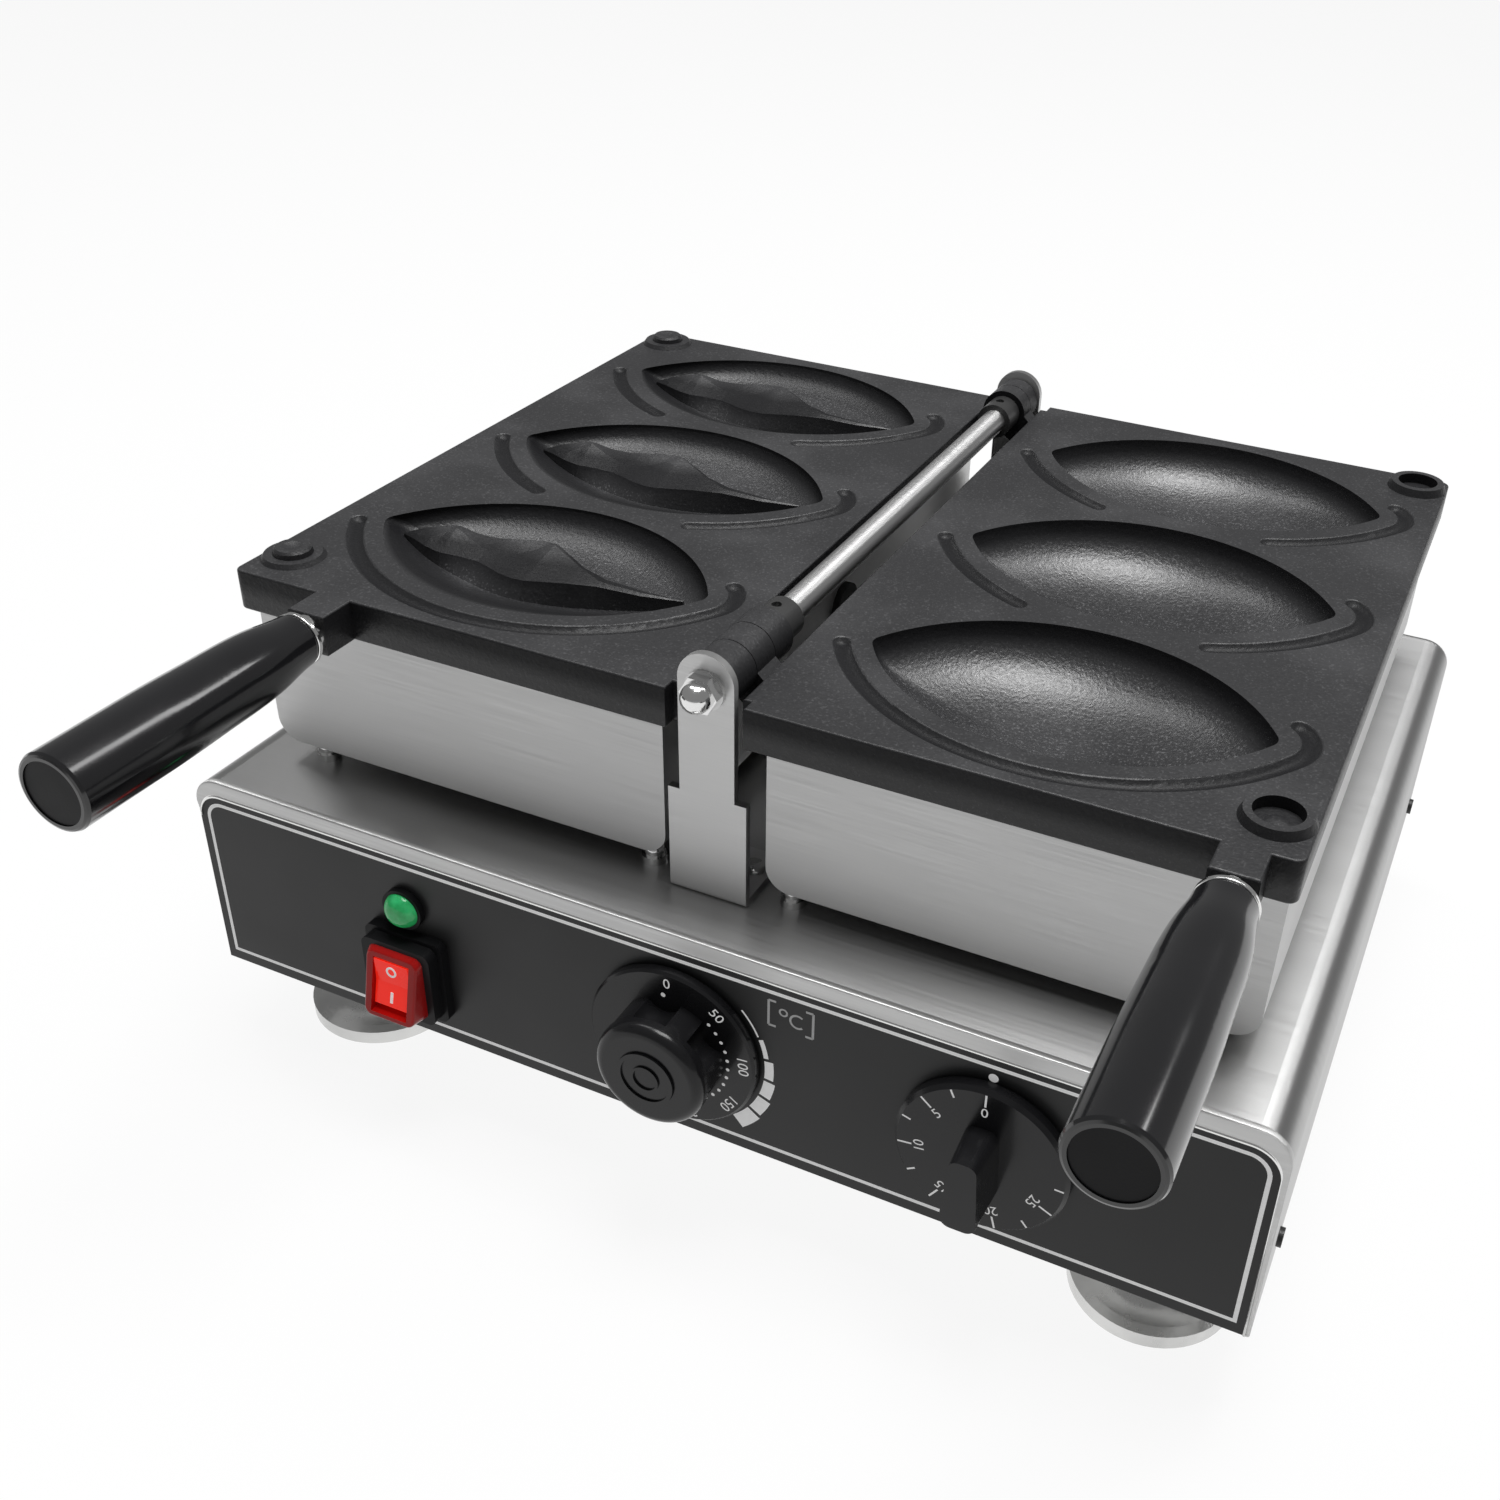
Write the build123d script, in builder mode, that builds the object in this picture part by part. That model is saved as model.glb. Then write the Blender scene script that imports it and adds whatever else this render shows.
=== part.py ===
from build123d import *
import math
import os

# A countertop waffle maker that lies open like a book: a wide steel box with a dark
# front panel carries two posts and a rod, and two cast mould plates swing on the rod.
# Millimetres. X runs to the right, Y to the back and Z up. The origin is on the
# tabletop, under the middle of the open machine, handles and cable gland included.

# Body
body_width = 364.6
rear_margin = 13.9
body_height = 77.0
foot_height = 35.0
sheet = 1.2
fascia_thickness = 0.8
fascia_inset = 0.5
edge_radius = 10.0
fit_gap = 0.3
low_wall = 12.0
side_wall = 20.0

# Hinge line, over the middle of the body
hinge_rise = 72.8
closing_gap = 4.2
rod_diameter = 9.0
rod_end_diameter = 6.0
running_clearance = 0.05
knuckle_radius = 8.5
knuckle_gap = 0.3

# Posts
post_thickness = 2.5
post_setback = 20.2
post_wide = 25.7
post_narrow = 18.0
post_shoulder = 36.7
post_crown = 11.0
post_foot_length = 26.0
bend_radius = 2.0

# Mould plates
plate_width = 157.2
plate_depth = 264.0
plate_thickness = 13.5
plate_setback = 18.8
plate_inner_edge = 10.0
post_notch_margin = 1.4
plate_edge_fillet = 0.8
plate_corner_radius = 3.0
post_notch_gap = 0.8

# Moulds: almonds that lie along X, three to a plate
mould_half_length = 61.0
mould_half_width = 37.0
mould_tip_radius = 5.0
mould_pitch = 83.25
mould_count = 3
front_mould_setback = 53.4
bowl_depth = 20.0
relief_bowl_depth = 12.5
relief_front_run = 2.4
mould_wall = 4.0
channel_inset = 5.6
channel_floor_radius = 3.0
channel_lip_radius = 1.0
channel_depth = 1.9
channel_over = 0.03
channel_middle_gap = 30.0
channel_outer_turn = -21.0
channel_inner_turn = 50.0

# Locating pins and sockets at the outer corners
locator_inset = 10.5
front_locator_setback = 16.0
rear_locator_setback = 10.5
locator_base_radius = 10.3
locator_top_radius = 9.2
pin_tier_height = 1.5
pin_radius = 6.4
pin_taper = 0.4
pin_chamfer = 0.7
pin_height = 2.2
pin_dimple_radius = 3.4
pin_dimple_depth = 0.8
socket_ring_height = 2.6
socket_depth = 3.6
socket_dome_height = 0.6
pin_clearance = 0.5

# Handles
tab_width = 13.2
tab_reach = 12.3
left_handle_x = 128.5
right_handle_x = 152.3
stud_diameter = 8.0
stud_in_tab = 20.0
ferrule_length = 5.0
ferrule_neck_radius = 6.2
ferrule_collar = 1.6
grip_length = 92.6
grip_inner_radius = 8.5
grip_outer_radius = 11.8
grip_cap_recess = 1.2

# Heater boxes under the plates
box_inner_gap = 7.0
box_outer_gap = 2.4
box_end_gap = 6.0
box_lift = 6.5
box_radius = 8.0
box_sheet = 1.0
heater_diameter = 7.0
heater_gap = 0.2
pad_thickness = 18.0
boss_radius = 5.0
boss_inset = 13.2
cover_bolt_diameter = 4.0

# Controls on the front, seen from the front's left to its right
dial_height = 36.3
thermostat_x = 0.0
timer_x = 100.5
lamp_x = -99.3
lamp_height = 51.9
switch_x = -99.5
switch_height = 26.6
dial_radius = 28.5
timer_dial_radius = 26.5
dial_thickness = 3.2
dial_standoff = 0.8
thermostat_reach = 19.0
grip_knob_radius = 18.4
timer_reach = 20.5
shaft_diameter = 6.0

# Feet and small hardware
foot_x = 148.0
foot_setback = 38.3
foot_radius = 26.5
foot_hub_radius = 12.0
pad_height = 4.0
gland_inset = 62.3
gland_reach = 14.0
gland_bore = 8.0

# Everything below is worked out from the values above.
body_depth = plate_setback + plate_depth + rear_margin
grip_end = grip_length + ferrule_length + tab_reach - plate_setback
front_y = (grip_end - body_depth - gland_reach) / 2
back_y = front_y + body_depth
panel_y = front_y + fascia_thickness
cover_y = panel_y + sheet
back_panel_y = back_y - sheet
cover_length = back_panel_y - cover_y
middle_y = front_y + plate_setback + plate_depth / 2
body_bottom = foot_height
body_top = body_bottom + body_height
hinge_z = body_top + hinge_rise
plate_top = hinge_z - closing_gap / 2
plate_bottom = plate_top - plate_thickness
plate_front = front_y + plate_setback
plate_back = plate_front + plate_depth
plate_mid_x = plate_inner_edge + plate_width / 2
plate_outer_edge = plate_inner_edge + plate_width
mould_ys = [plate_front + front_mould_setback + i * mould_pitch for i in range(mould_count)]
post_front = front_y + post_setback
post_back = 2 * middle_y - post_front
rod_radius = rod_diameter / 2
bore_radius = rod_radius + running_clearance
box_bottom = body_top + box_lift
box_left = plate_inner_edge + box_inner_gap
box_right = plate_outer_edge - box_outer_gap
box_front = plate_front + box_end_gap
box_back = plate_back - box_end_gap
handle_z = plate_bottom + plate_thickness / 2
side_arc_radius = (mould_half_length**2 + mould_half_width**2) / (2 * mould_half_width)
side_arc_setback = side_arc_radius - mould_half_width
tip_arc_x = math.sqrt((side_arc_radius - mould_tip_radius) ** 2 - side_arc_setback**2)
dial_z = body_bottom + dial_height
lamp_z = body_bottom + lamp_height
switch_z = body_bottom + switch_height


def at_y(y):
    """The upright plane at a given depth, where a sketch's own x and y are X and Z."""
    return Plane.XZ.offset(-y)


def at_x(x):
    """The upright plane at a given width, where a sketch's own x and y are Y and Z."""
    return Plane.YZ.offset(x)


def at_z(z):
    """The level plane at a given height."""
    return Plane.XY.offset(z)


def save(builder, name):
    """Label a finished piece and write it to its own file."""
    builder.part.label = name
    export_step(builder.part, f"parts/{name}.step")


def hood(width, bottom, top, radius):
    """An upright rectangle with its two upper corners rounded."""
    with BuildSketch(mode=Mode.PRIVATE) as face:
        with Locations((0, bottom)):
            Rectangle(width, top - bottom, align=(Align.CENTER, Align.MIN))
        fillet(face.vertices().group_by(Axis.Y)[-1], radius)
    return face.sketch


def trough(left, right, bottom, top, radius):
    """An upright rectangle with its two lower corners rounded."""
    with BuildSketch(mode=Mode.PRIVATE) as face:
        with Locations(((left + right) / 2, bottom)):
            Rectangle(right - left, top - bottom, align=(Align.CENTER, Align.MIN))
        fillet(face.vertices().group_by(Axis.Y)[0], radius)
    return face.sketch


def almond(half_length, half_width, tip_radius):
    """A pointed oval of two arcs, with its tips slightly rounded."""
    with BuildSketch(mode=Mode.PRIVATE) as face:
        with BuildLine():
            ThreePointArc((-half_length, 0), (0, half_width), (half_length, 0))
            ThreePointArc((half_length, 0), (0, -half_width), (-half_length, 0))
        make_face()
        fillet(face.vertices(), tip_radius)
    return face.sketch


def almond_loft(x, y, depth, extra, angles, mode):
    """A bowl whose level outlines shrink like a half ellipse, from the plate's face down."""
    levels = []
    for angle in angles:
        scale_here = math.cos(math.radians(angle))
        drop = depth * math.sin(math.radians(angle))
        with BuildSketch(at_z(plate_top - drop)) as level:
            with Locations((x, y)):
                add(
                    almond(
                        (mould_half_length + extra) * scale_here,
                        (mould_half_width + extra) * scale_here,
                        mould_tip_radius * scale_here,
                    )
                )
        levels.append(level.sketch.face())
    loft(levels, mode=mode)


def keep_side(sign):
    """Turn a piece that was drawn on the right into the left one, where sign says so."""
    if sign < 0:
        mirror(about=Plane.YZ, mode=Mode.REPLACE)


# Base cover: one sheet folded over the top and down both sides.
lead_bush_radius = 6.0
lead_bush_ys = [middle_y - 16, middle_y + 16]
post_foot_hole_radius = 2.2
post_foot_x = 7.0
post_foot_ys = [
    post_front + post_thickness + 14,
    post_back - post_thickness - 14,
]
rest_xs = [-150.0, -24.0, 24.0, 150.0]
rest_ys = [box_front + 5, box_back - 5]
rest_radius = 4.0
rest_hole_radius = 2.1
side_screw_ys = [front_y + 25.7, back_y - 25.7]
side_screw_z = body_bottom + 15.6
side_screw_hole = 1.6
with BuildPart() as base_cover:
    with BuildSketch(at_y(cover_y)):
        add(hood(body_width, body_bottom, body_top, edge_radius))
        add(
            hood(
                body_width - 2 * sheet,
                body_bottom - sheet,
                body_top - sheet,
                edge_radius - sheet,
            ),
            mode=Mode.SUBTRACT,
        )
    extrude(amount=-cover_length)
    with BuildSketch(at_z(body_top - sheet)):
        with Locations(*[(0, y) for y in lead_bush_ys]):
            Circle(lead_bush_radius)
        with Locations(*[(x, y) for x in (-post_foot_x, post_foot_x) for y in post_foot_ys]):
            Circle(post_foot_hole_radius)
        with Locations(*[(x, y) for x in rest_xs for y in rest_ys]):
            Circle(rest_hole_radius)
    extrude(amount=sheet, mode=Mode.SUBTRACT)
    with BuildSketch(at_x(-body_width / 2)):
        with Locations(*[(y, side_screw_z) for y in side_screw_ys]):
            Circle(side_screw_hole)
    extrude(amount=body_width, mode=Mode.SUBTRACT)
save(base_cover, "base_cover")

# Front panel behind the fascia, with two flanges that the side screws hold.
inner_half_width = body_width / 2 - sheet - fit_gap
flange_reach = 38.0
flange_bottom = body_bottom + sheet + 2
flange_top = body_top - edge_radius - 2
switch_hole_width = 22.0
switch_hole_height = 26.0
lamp_hole_radius = 4.2
shaft_hole_radius = 5.0


def cut_controls():
    """Holes for both shafts, the lamp and the switch, in the sketch that is open."""
    with Locations((thermostat_x, dial_z), (timer_x, dial_z)):
        Circle(shaft_hole_radius, mode=Mode.SUBTRACT)
    with Locations((lamp_x, lamp_z)):
        Circle(lamp_hole_radius, mode=Mode.SUBTRACT)
    with Locations((switch_x, switch_z)):
        Rectangle(switch_hole_width, switch_hole_height, mode=Mode.SUBTRACT)


with BuildPart() as front_panel:
    with BuildSketch(at_y(panel_y)):
        add(hood(body_width, body_bottom, body_top, edge_radius))
        cut_controls()
    extrude(amount=-sheet)
    for side in (-1, 1):
        with BuildSketch(at_x(side * (inner_half_width - sheet / 2) - sheet / 2)):
            with Locations((cover_y, flange_bottom)):
                Rectangle(flange_reach, flange_top - flange_bottom, align=(Align.MIN, Align.MIN))
            with Locations((side_screw_ys[0], side_screw_z)):
                Circle(side_screw_hole, mode=Mode.SUBTRACT)
        extrude(amount=sheet)
save(front_panel, "front_panel")

with BuildPart() as fascia:
    with BuildSketch(at_y(front_y)):
        add(
            hood(
                body_width - 2 * fascia_inset,
                body_bottom + fascia_inset,
                body_top - fascia_inset,
                edge_radius - fascia_inset,
            )
        )
        cut_controls()
    extrude(amount=-fascia_thickness)
save(fascia, "fascia")

# Back panel, with cooling slots, the cable gland's hole and the same two flanges.
gland_x = body_width / 2 - gland_inset
gland_z = body_bottom + 26.0
gland_hole_radius = 8.0
slot_length = 26.0
slot_width = 3.2
slot_pitch = 8.0
slot_count = 5
with BuildPart() as back_panel:
    with BuildSketch(at_y(back_panel_y)):
        add(hood(body_width, body_bottom, body_top, edge_radius))
        with Locations((gland_x, gland_z)):
            Circle(gland_hole_radius, mode=Mode.SUBTRACT)
        with Locations((-60, dial_z), (40, dial_z)):
            with GridLocations(0, slot_pitch, 1, slot_count):
                SlotOverall(slot_length, slot_width, mode=Mode.SUBTRACT)
    extrude(amount=-sheet)
    for side in (-1, 1):
        with BuildSketch(at_x(side * (inner_half_width - sheet / 2) - sheet / 2)):
            with Locations((back_panel_y, flange_bottom)):
                Rectangle(flange_reach, flange_top - flange_bottom, align=(Align.MAX, Align.MIN))
            with Locations((side_screw_ys[1], side_screw_z)):
                Circle(side_screw_hole, mode=Mode.SUBTRACT)
        extrude(amount=sheet)
save(back_panel, "back_panel")

# Bottom pan: a tray that closes the body from below, with slots and bolt holes.
pan_half_width = inner_half_width - sheet - fit_gap
pan_front = cover_y + fit_gap
pan_back = back_panel_y - fit_gap
foot_ys = [front_y + foot_setback, back_y - foot_setback]
foot_bolt_radius = 3.0
vent_columns = 7
vent_rows = 2
vent_length = 34.0
with BuildPart() as bottom_pan:
    with BuildSketch(at_z(body_bottom)):
        with Locations((0, (pan_front + pan_back) / 2)):
            Rectangle(2 * pan_half_width, pan_back - pan_front)
    extrude(amount=side_wall)
    with BuildSketch(at_z(body_bottom + sheet)):
        with Locations((0, (pan_front + pan_back) / 2)):
            Rectangle(2 * (pan_half_width - sheet), pan_back - pan_front - 2 * sheet)
    extrude(amount=side_wall, mode=Mode.SUBTRACT)
    with BuildSketch(at_z(body_bottom + low_wall)):
        with Locations((0, (pan_front + pan_back) / 2)):
            Rectangle(2 * (pan_half_width - sheet), pan_back - pan_front)
    extrude(amount=side_wall, mode=Mode.SUBTRACT)
    with BuildSketch(at_x(-pan_half_width)):
        with Locations(*[(y, side_screw_z) for y in side_screw_ys]):
            Circle(side_screw_hole)
    extrude(amount=2 * pan_half_width, mode=Mode.SUBTRACT)
    with BuildSketch(at_z(body_bottom)):
        with Locations(*[(x, y) for x in (-foot_x, foot_x) for y in foot_ys]):
            Circle(foot_bolt_radius + fit_gap)
        with Locations((0, middle_y)):
            with GridLocations(30, 90, vent_columns, vent_rows):
                SlotOverall(vent_length, slot_width, rotation=90)
    extrude(amount=sheet, mode=Mode.SUBTRACT)
save(bottom_pan, "bottom_pan")

# Posts: a strip that is wide below and narrow above, with a rounded crown and a foot.
crown_radius = post_narrow / 2
crown_center = hinge_z + post_crown - crown_radius
for name, face_y, way in (("front_post", post_front, 1), ("rear_post", post_back, -1)):
    with BuildPart() as post:
        with BuildSketch(at_y(face_y)):
            with Locations((0, body_top)):
                Rectangle(post_wide, post_shoulder, align=(Align.CENTER, Align.MIN))
                Rectangle(post_narrow, crown_center - body_top, align=(Align.CENTER, Align.MIN))
            with Locations((0, crown_center)):
                Circle(crown_radius)
            with Locations((0, hinge_z)):
                Circle(rod_end_diameter / 2 + running_clearance, mode=Mode.SUBTRACT)
        extrude(amount=-way * post_thickness)
        with BuildSketch(at_z(body_top)):
            with Locations((0, face_y + way * post_foot_length / 2)):
                Rectangle(post_wide, post_foot_length)
            with Locations(*[(x, y) for x in (-post_foot_x, post_foot_x) for y in post_foot_ys]):
                Circle(post_foot_hole_radius, mode=Mode.SUBTRACT)
        extrude(amount=post_thickness)
        outer_bend = post.edges().filter_by(Axis.X).group_by(Axis.Z)[0].sort_by(Axis.Y)
        fillet(outer_bend[0] if way > 0 else outer_bend[-1], bend_radius)
    save(post, name)

# Hinge rod between the posts, with reduced ends that pass through them.
rod_front = post_front + post_thickness
rod_back = post_back - post_thickness
nut_height = 3.4
nut_across_flats = 10.4
washer_thickness = 1.2
thread_reach = post_thickness + washer_thickness + nut_height + 0.6
with BuildPart() as hinge_rod:
    with BuildSketch(at_y(rod_front)):
        with Locations((0, hinge_z)):
            Circle(rod_radius)
    extrude(amount=-(rod_back - rod_front))
    with BuildSketch(at_y(rod_front - thread_reach)):
        with Locations((0, hinge_z)):
            Circle(rod_end_diameter / 2)
    extrude(amount=-(rod_back - rod_front + 2 * thread_reach))
save(hinge_rod, "hinge_rod")

with BuildPart() as rod_washers:
    for face_y, way in ((post_front, 1), (post_back, -1)):
        with BuildSketch(at_y(face_y)):
            with Locations((0, hinge_z)):
                Circle(nut_across_flats / 2 + 1)
                Circle(rod_end_diameter / 2 + running_clearance, mode=Mode.SUBTRACT)
        extrude(amount=way * washer_thickness)
save(rod_washers, "rod_washers")

# Domed nuts on both ends of the rod.
dome_radius = 4.8
dome_neck = 0.8
with BuildPart() as rod_nuts:
    for face_y, way in (
        (post_front - washer_thickness, 1),
        (post_back + washer_thickness, -1),
    ):
        with BuildSketch(at_y(face_y)):
            with Locations((0, hinge_z)):
                RegularPolygon(nut_across_flats / 2, 6, major_radius=False)
        extrude(amount=way * nut_height)
        with BuildSketch(at_y(face_y - way * nut_height)):
            with Locations((0, hinge_z)):
                Circle(dome_radius)
        extrude(amount=way * dome_neck)
        with Locations((0, face_y - way * (nut_height + dome_neck), hinge_z)):
            Sphere(dome_radius * 0.97)
    for face_y, way in (
        (post_front - washer_thickness, 1),
        (post_back + washer_thickness, -1),
    ):
        with BuildSketch(at_y(face_y + way)):
            with Locations((0, hinge_z)):
                Circle(rod_end_diameter / 2 + running_clearance)
        extrude(amount=way * (nut_height + 2.0), mode=Mode.SUBTRACT)
save(rod_nuts, "rod_nuts")

# Knuckles: where each plate's lugs sit along the rod, front to back.
lug_start = rod_front + 1.0
lug_length = 11.3
collar_length = 11.0
collar_radius = 6.6
front_lugs = [lug_start + i * (lug_length + knuckle_gap) for i in range(3)]
front_collar = front_lugs[2] + lug_length + knuckle_gap
rear_lug_length = 7.6
rear_lugs = [rod_back - 1.0 - (i + 1) * rear_lug_length - i * knuckle_gap for i in range(2)]
rear_collar = rear_lugs[1] - knuckle_gap - collar_length
lugs = {
    -1: [(front_lugs[0], lug_length), (front_lugs[2], lug_length), (rear_lugs[0], rear_lug_length)],
    1: [(front_lugs[1], lug_length), (rear_lugs[1], rear_lug_length)],
}
with BuildPart() as rod_collars:
    for start in (front_collar, rear_collar):
        with BuildSketch(at_y(start)):
            with Locations((0, hinge_z)):
                Circle(collar_radius)
                Circle(bore_radius, mode=Mode.SUBTRACT)
        extrude(amount=-collar_length)
        with BuildSketch(at_z(hinge_z)):
            with Locations((0, start + collar_length / 2)):
                Circle(1.6)
        extrude(amount=collar_radius + 1, mode=Mode.SUBTRACT)
save(rod_collars, "rod_collars")

# Mould plates. Both are drawn on the right and the left one is mirrored over.
notch_reach = post_crown + post_notch_margin
notch_length = post_setback + post_thickness + post_notch_gap - plate_setback
bowl_angles = (0, 15, 30, 45, 60, 75, 87)
hull_angles = (30, 45, 60, 75, 87)
locator_x = plate_outer_edge - locator_inset
locator_ys = [plate_front + front_locator_setback, plate_back - rear_locator_setback]
boss_xs = [box_left + boss_inset, box_right - boss_inset]
boss_ys = [mould_ys[0], mould_ys[2]]
pad_bottom = box_bottom + box_sheet
leaf_floor = relief_bowl_depth + 0.4

# The folded leaf inside each left mould, station by station along it: the place, then
# how far back its foot, front edge, crest, shoulder and tail stand, then how high the
# edge, the crest and the shoulder are over the plate's face.
leaf_stations = [
    (-49.0, 4.6, 5.2, 5.5, 6.0, 6.8, -6.6, -6.4, -6.8),
    (-36.0, -0.4, 0.5, 1.6, 4.0, 9.5, -5.6, -5.0, -5.6),
    (-22.0, -4.5, -2.3, -0.3, 3.5, 12.0, -4.5, -3.6, -4.6),
    (-13.0, -8.4, -5.8, 2.4, 5.0, 12.5, -4.0, -1.8, -3.2),
    (0.0, -13.6, -10.6, 8.0, 10.0, 14.0, -4.0, 0.8, 0.0),
    (4.5, -14.6, -10.9, 5.2, 9.0, 15.5, -4.0, -0.6, 0.6),
    (10.0, -14.2, -9.9, 1.0, 7.5, 16.0, -4.0, -1.8, 0.4),
    (16.0, -13.2, -7.6, -0.5, 6.5, 16.0, -4.0, -2.3, -0.2),
    (20.5, -12.6, -6.1, -0.8, 6.0, 15.0, -4.0, -2.3, -0.8),
    (28.0, -11.6, -6.0, 1.2, 5.5, 14.0, -4.0, -0.9, -0.6),
    (35.0, -9.6, -6.5, 3.5, 6.0, 12.0, -4.0, 0.8, 0.3),
    (38.0, -8.6, -6.2, 1.6, 5.2, 11.0, -3.9, -0.7, 0.4),
    (42.0, -7.0, -5.2, -1.5, 4.0, 9.5, -3.8, -2.0, -0.4),
    (48.0, -4.5, -2.8, -1.0, 2.5, 6.0, -3.7, -2.5, -1.8),
    (54.0, -0.8, -0.5, -0.2, 0.2, 0.6, -4.0, -3.8, -4.0),
]


def leaf_relief(x, y):
    """A pleated leaf that rises from the floor of a mould, as flat facets."""
    slices = []
    for along, foot, edge, crest, shoulder, tail, edge_up, crest_up, shoulder_up in leaf_stations:
        foot_down = min(relief_bowl_depth, (mould_half_width + foot) / relief_front_run)
        with BuildSketch(at_x(x + along)) as piece:
            with BuildLine():
                Polyline(
                    (y + foot, plate_top - leaf_floor),
                    (y + tail, plate_top - leaf_floor),
                    (y + shoulder, plate_top + shoulder_up),
                    (y + crest, plate_top + crest_up),
                    (y + edge, plate_top + edge_up),
                    (y + foot, plate_top - foot_down),
                    close=True,
                )
            make_face()
        slices.append(piece.sketch.face())
    loft(slices, ruled=True)


def relief_bowl(x, y):
    """A left mould's bowl: a long gentle slope in front and a steep wall behind."""
    levels = []
    for angle in bowl_angles:
        narrowing = math.cos(math.radians(angle))
        drop = relief_bowl_depth * math.sin(math.radians(angle))
        behind = mould_half_width * narrowing
        ahead = mould_half_width - drop * relief_front_run
        with BuildSketch(at_z(plate_top - drop)) as level:
            with Locations((x, y + (behind - ahead) / 2)):
                add(
                    almond(
                        mould_half_length * narrowing**0.6,
                        (behind + ahead) / 2,
                        mould_tip_radius * narrowing,
                    )
                )
        levels.append(level.sketch.face())
    loft(levels, mode=Mode.SUBTRACT)


# The channel's section: a round floor between two lips that round over to the face.
channel_rise = channel_floor_radius - channel_depth
channel_pull = channel_floor_radius + channel_lip_radius
channel_reach = math.sqrt(channel_pull**2 - (channel_rise + channel_lip_radius) ** 2)
lip_share = channel_lip_radius / channel_pull
lip_end = (
    channel_reach * (1 - lip_share),
    (channel_rise + channel_lip_radius) * lip_share - channel_lip_radius,
)
floor_half_angle = math.asin(lip_end[0] / channel_floor_radius) / 2
floor_between = (
    channel_floor_radius * math.sin(floor_half_angle),
    channel_rise - channel_floor_radius * math.cos(floor_half_angle),
)
channel_line = channel_inset + channel_reach
channel_side_radius = side_arc_radius + channel_line
channel_tip_radius = mould_tip_radius + channel_line
join_turn = math.degrees(math.atan2(side_arc_setback, tip_arc_x))
gap_turn = math.degrees(math.asin(channel_middle_gap / channel_side_radius))


def channel_section(spot, turn, offset, whole):
    """The channel's section, upright in the plane that a direction makes at a spot."""
    way = (math.cos(math.radians(turn)), math.sin(math.radians(turn)), 0)
    stand = Plane(
        origin=(spot[0], spot[1], plate_top + channel_over),
        x_dir=way,
        z_dir=(way[1], -way[0], 0),
    )
    lip_x, lip_z = lip_end
    outer = offset + channel_reach
    with BuildSketch(stand) as section:
        with BuildLine():
            TangentArc((outer, 0), (offset + lip_x, lip_z), tangent=(-1, 0))
            if whole:
                inner = offset - channel_reach
                ThreePointArc(
                    (offset + lip_x, lip_z),
                    (offset, -channel_depth),
                    (offset - lip_x, lip_z),
                )
                TangentArc((inner, 0), (offset - lip_x, lip_z), tangent=(1, 0))
                Polyline((inner, 0), (inner, 1), (outer, 1), (outer, 0))
            else:
                ThreePointArc((lip_x, lip_z), floor_between, (0, -channel_depth))
                Polyline((0, -channel_depth), (0, 1), (outer, 1), (outer, 0))
        make_face()
    return section.sketch


def channel_arc(center, radius, start, turn):
    """One arc of a channel round a centre, from a starting direction through a turn."""
    return revolve(
        channel_section(center, start, radius, True),
        axis=Axis((center[0], center[1], 0), (0, 0, 1)),
        revolution_arc=turn,
        mode=Mode.PRIVATE,
    )


def channel_end(center, radius, at, way):
    """The round end of a channel arc, past its last direction or before its first one."""
    turn = math.radians(at)
    spot = (center[0] + radius * math.cos(turn), center[1] + radius * math.sin(turn))
    return revolve(
        channel_section(spot, at if way > 0 else at + 180, 0, False),
        axis=Axis((spot[0], spot[1], 0), (0, 0, 1)),
        revolution_arc=180,
        mode=Mode.PRIVATE,
    )


def channel(x, y, is_first, sign):
    """The overflow channel in front of a mould: whole at the first, two hooks elsewhere."""
    side = (x, y + side_arc_setback)
    right_tip = (x + tip_arc_x, y)
    left_tip = (x - tip_arc_x, y)
    right_turn, left_turn = channel_inner_turn, channel_outer_turn
    if sign < 0:
        right_turn, left_turn = channel_outer_turn, channel_inner_turn
    cuts = [
        channel_arc(right_tip, channel_tip_radius, -join_turn, join_turn + right_turn),
        channel_end(right_tip, channel_tip_radius, right_turn, 1),
        channel_arc(left_tip, channel_tip_radius, 180 - left_turn, left_turn + join_turn),
        channel_end(left_tip, channel_tip_radius, 180 - left_turn, -1),
    ]
    if is_first:
        cuts.append(channel_arc(side, channel_side_radius, join_turn - 180, 180 - 2 * join_turn))
    else:
        sweep_turn = 90 - join_turn - gap_turn
        cuts.append(channel_arc(side, channel_side_radius, join_turn - 180, sweep_turn))
        cuts.append(channel_end(side, channel_side_radius, -90 - gap_turn, 1))
        cuts.append(channel_arc(side, channel_side_radius, gap_turn - 90, sweep_turn))
        cuts.append(channel_end(side, channel_side_radius, gap_turn - 90, -1))
    add(cuts, mode=Mode.SUBTRACT)


def locating_pin(x, y):
    """A low cone on the left plate with a pin on it and a shallow dish in the pin's top."""
    tier_top = plate_top + pin_tier_height
    pin_top = tier_top + pin_height
    with BuildSketch(Plane.XZ.offset(-y)) as profile:
        with BuildLine():
            edge = Polyline(
                (x, pin_top - pin_dimple_depth),
                (x, plate_top - 1),
                (x + locator_base_radius, plate_top - 1),
                (x + locator_base_radius, plate_top),
                (x + locator_top_radius, tier_top),
                (x + pin_radius, tier_top),
                (x + pin_radius - pin_taper, pin_top - pin_chamfer),
                (x + pin_radius - pin_taper - pin_chamfer, pin_top),
                (x + pin_dimple_radius, pin_top),
            )
            TangentArc(edge @ 0, edge @ 1, tangent=(1, 0))
        make_face()
    revolve(profile.sketch, axis=Axis((x, y, 0), (0, 0, 1)))


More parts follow.
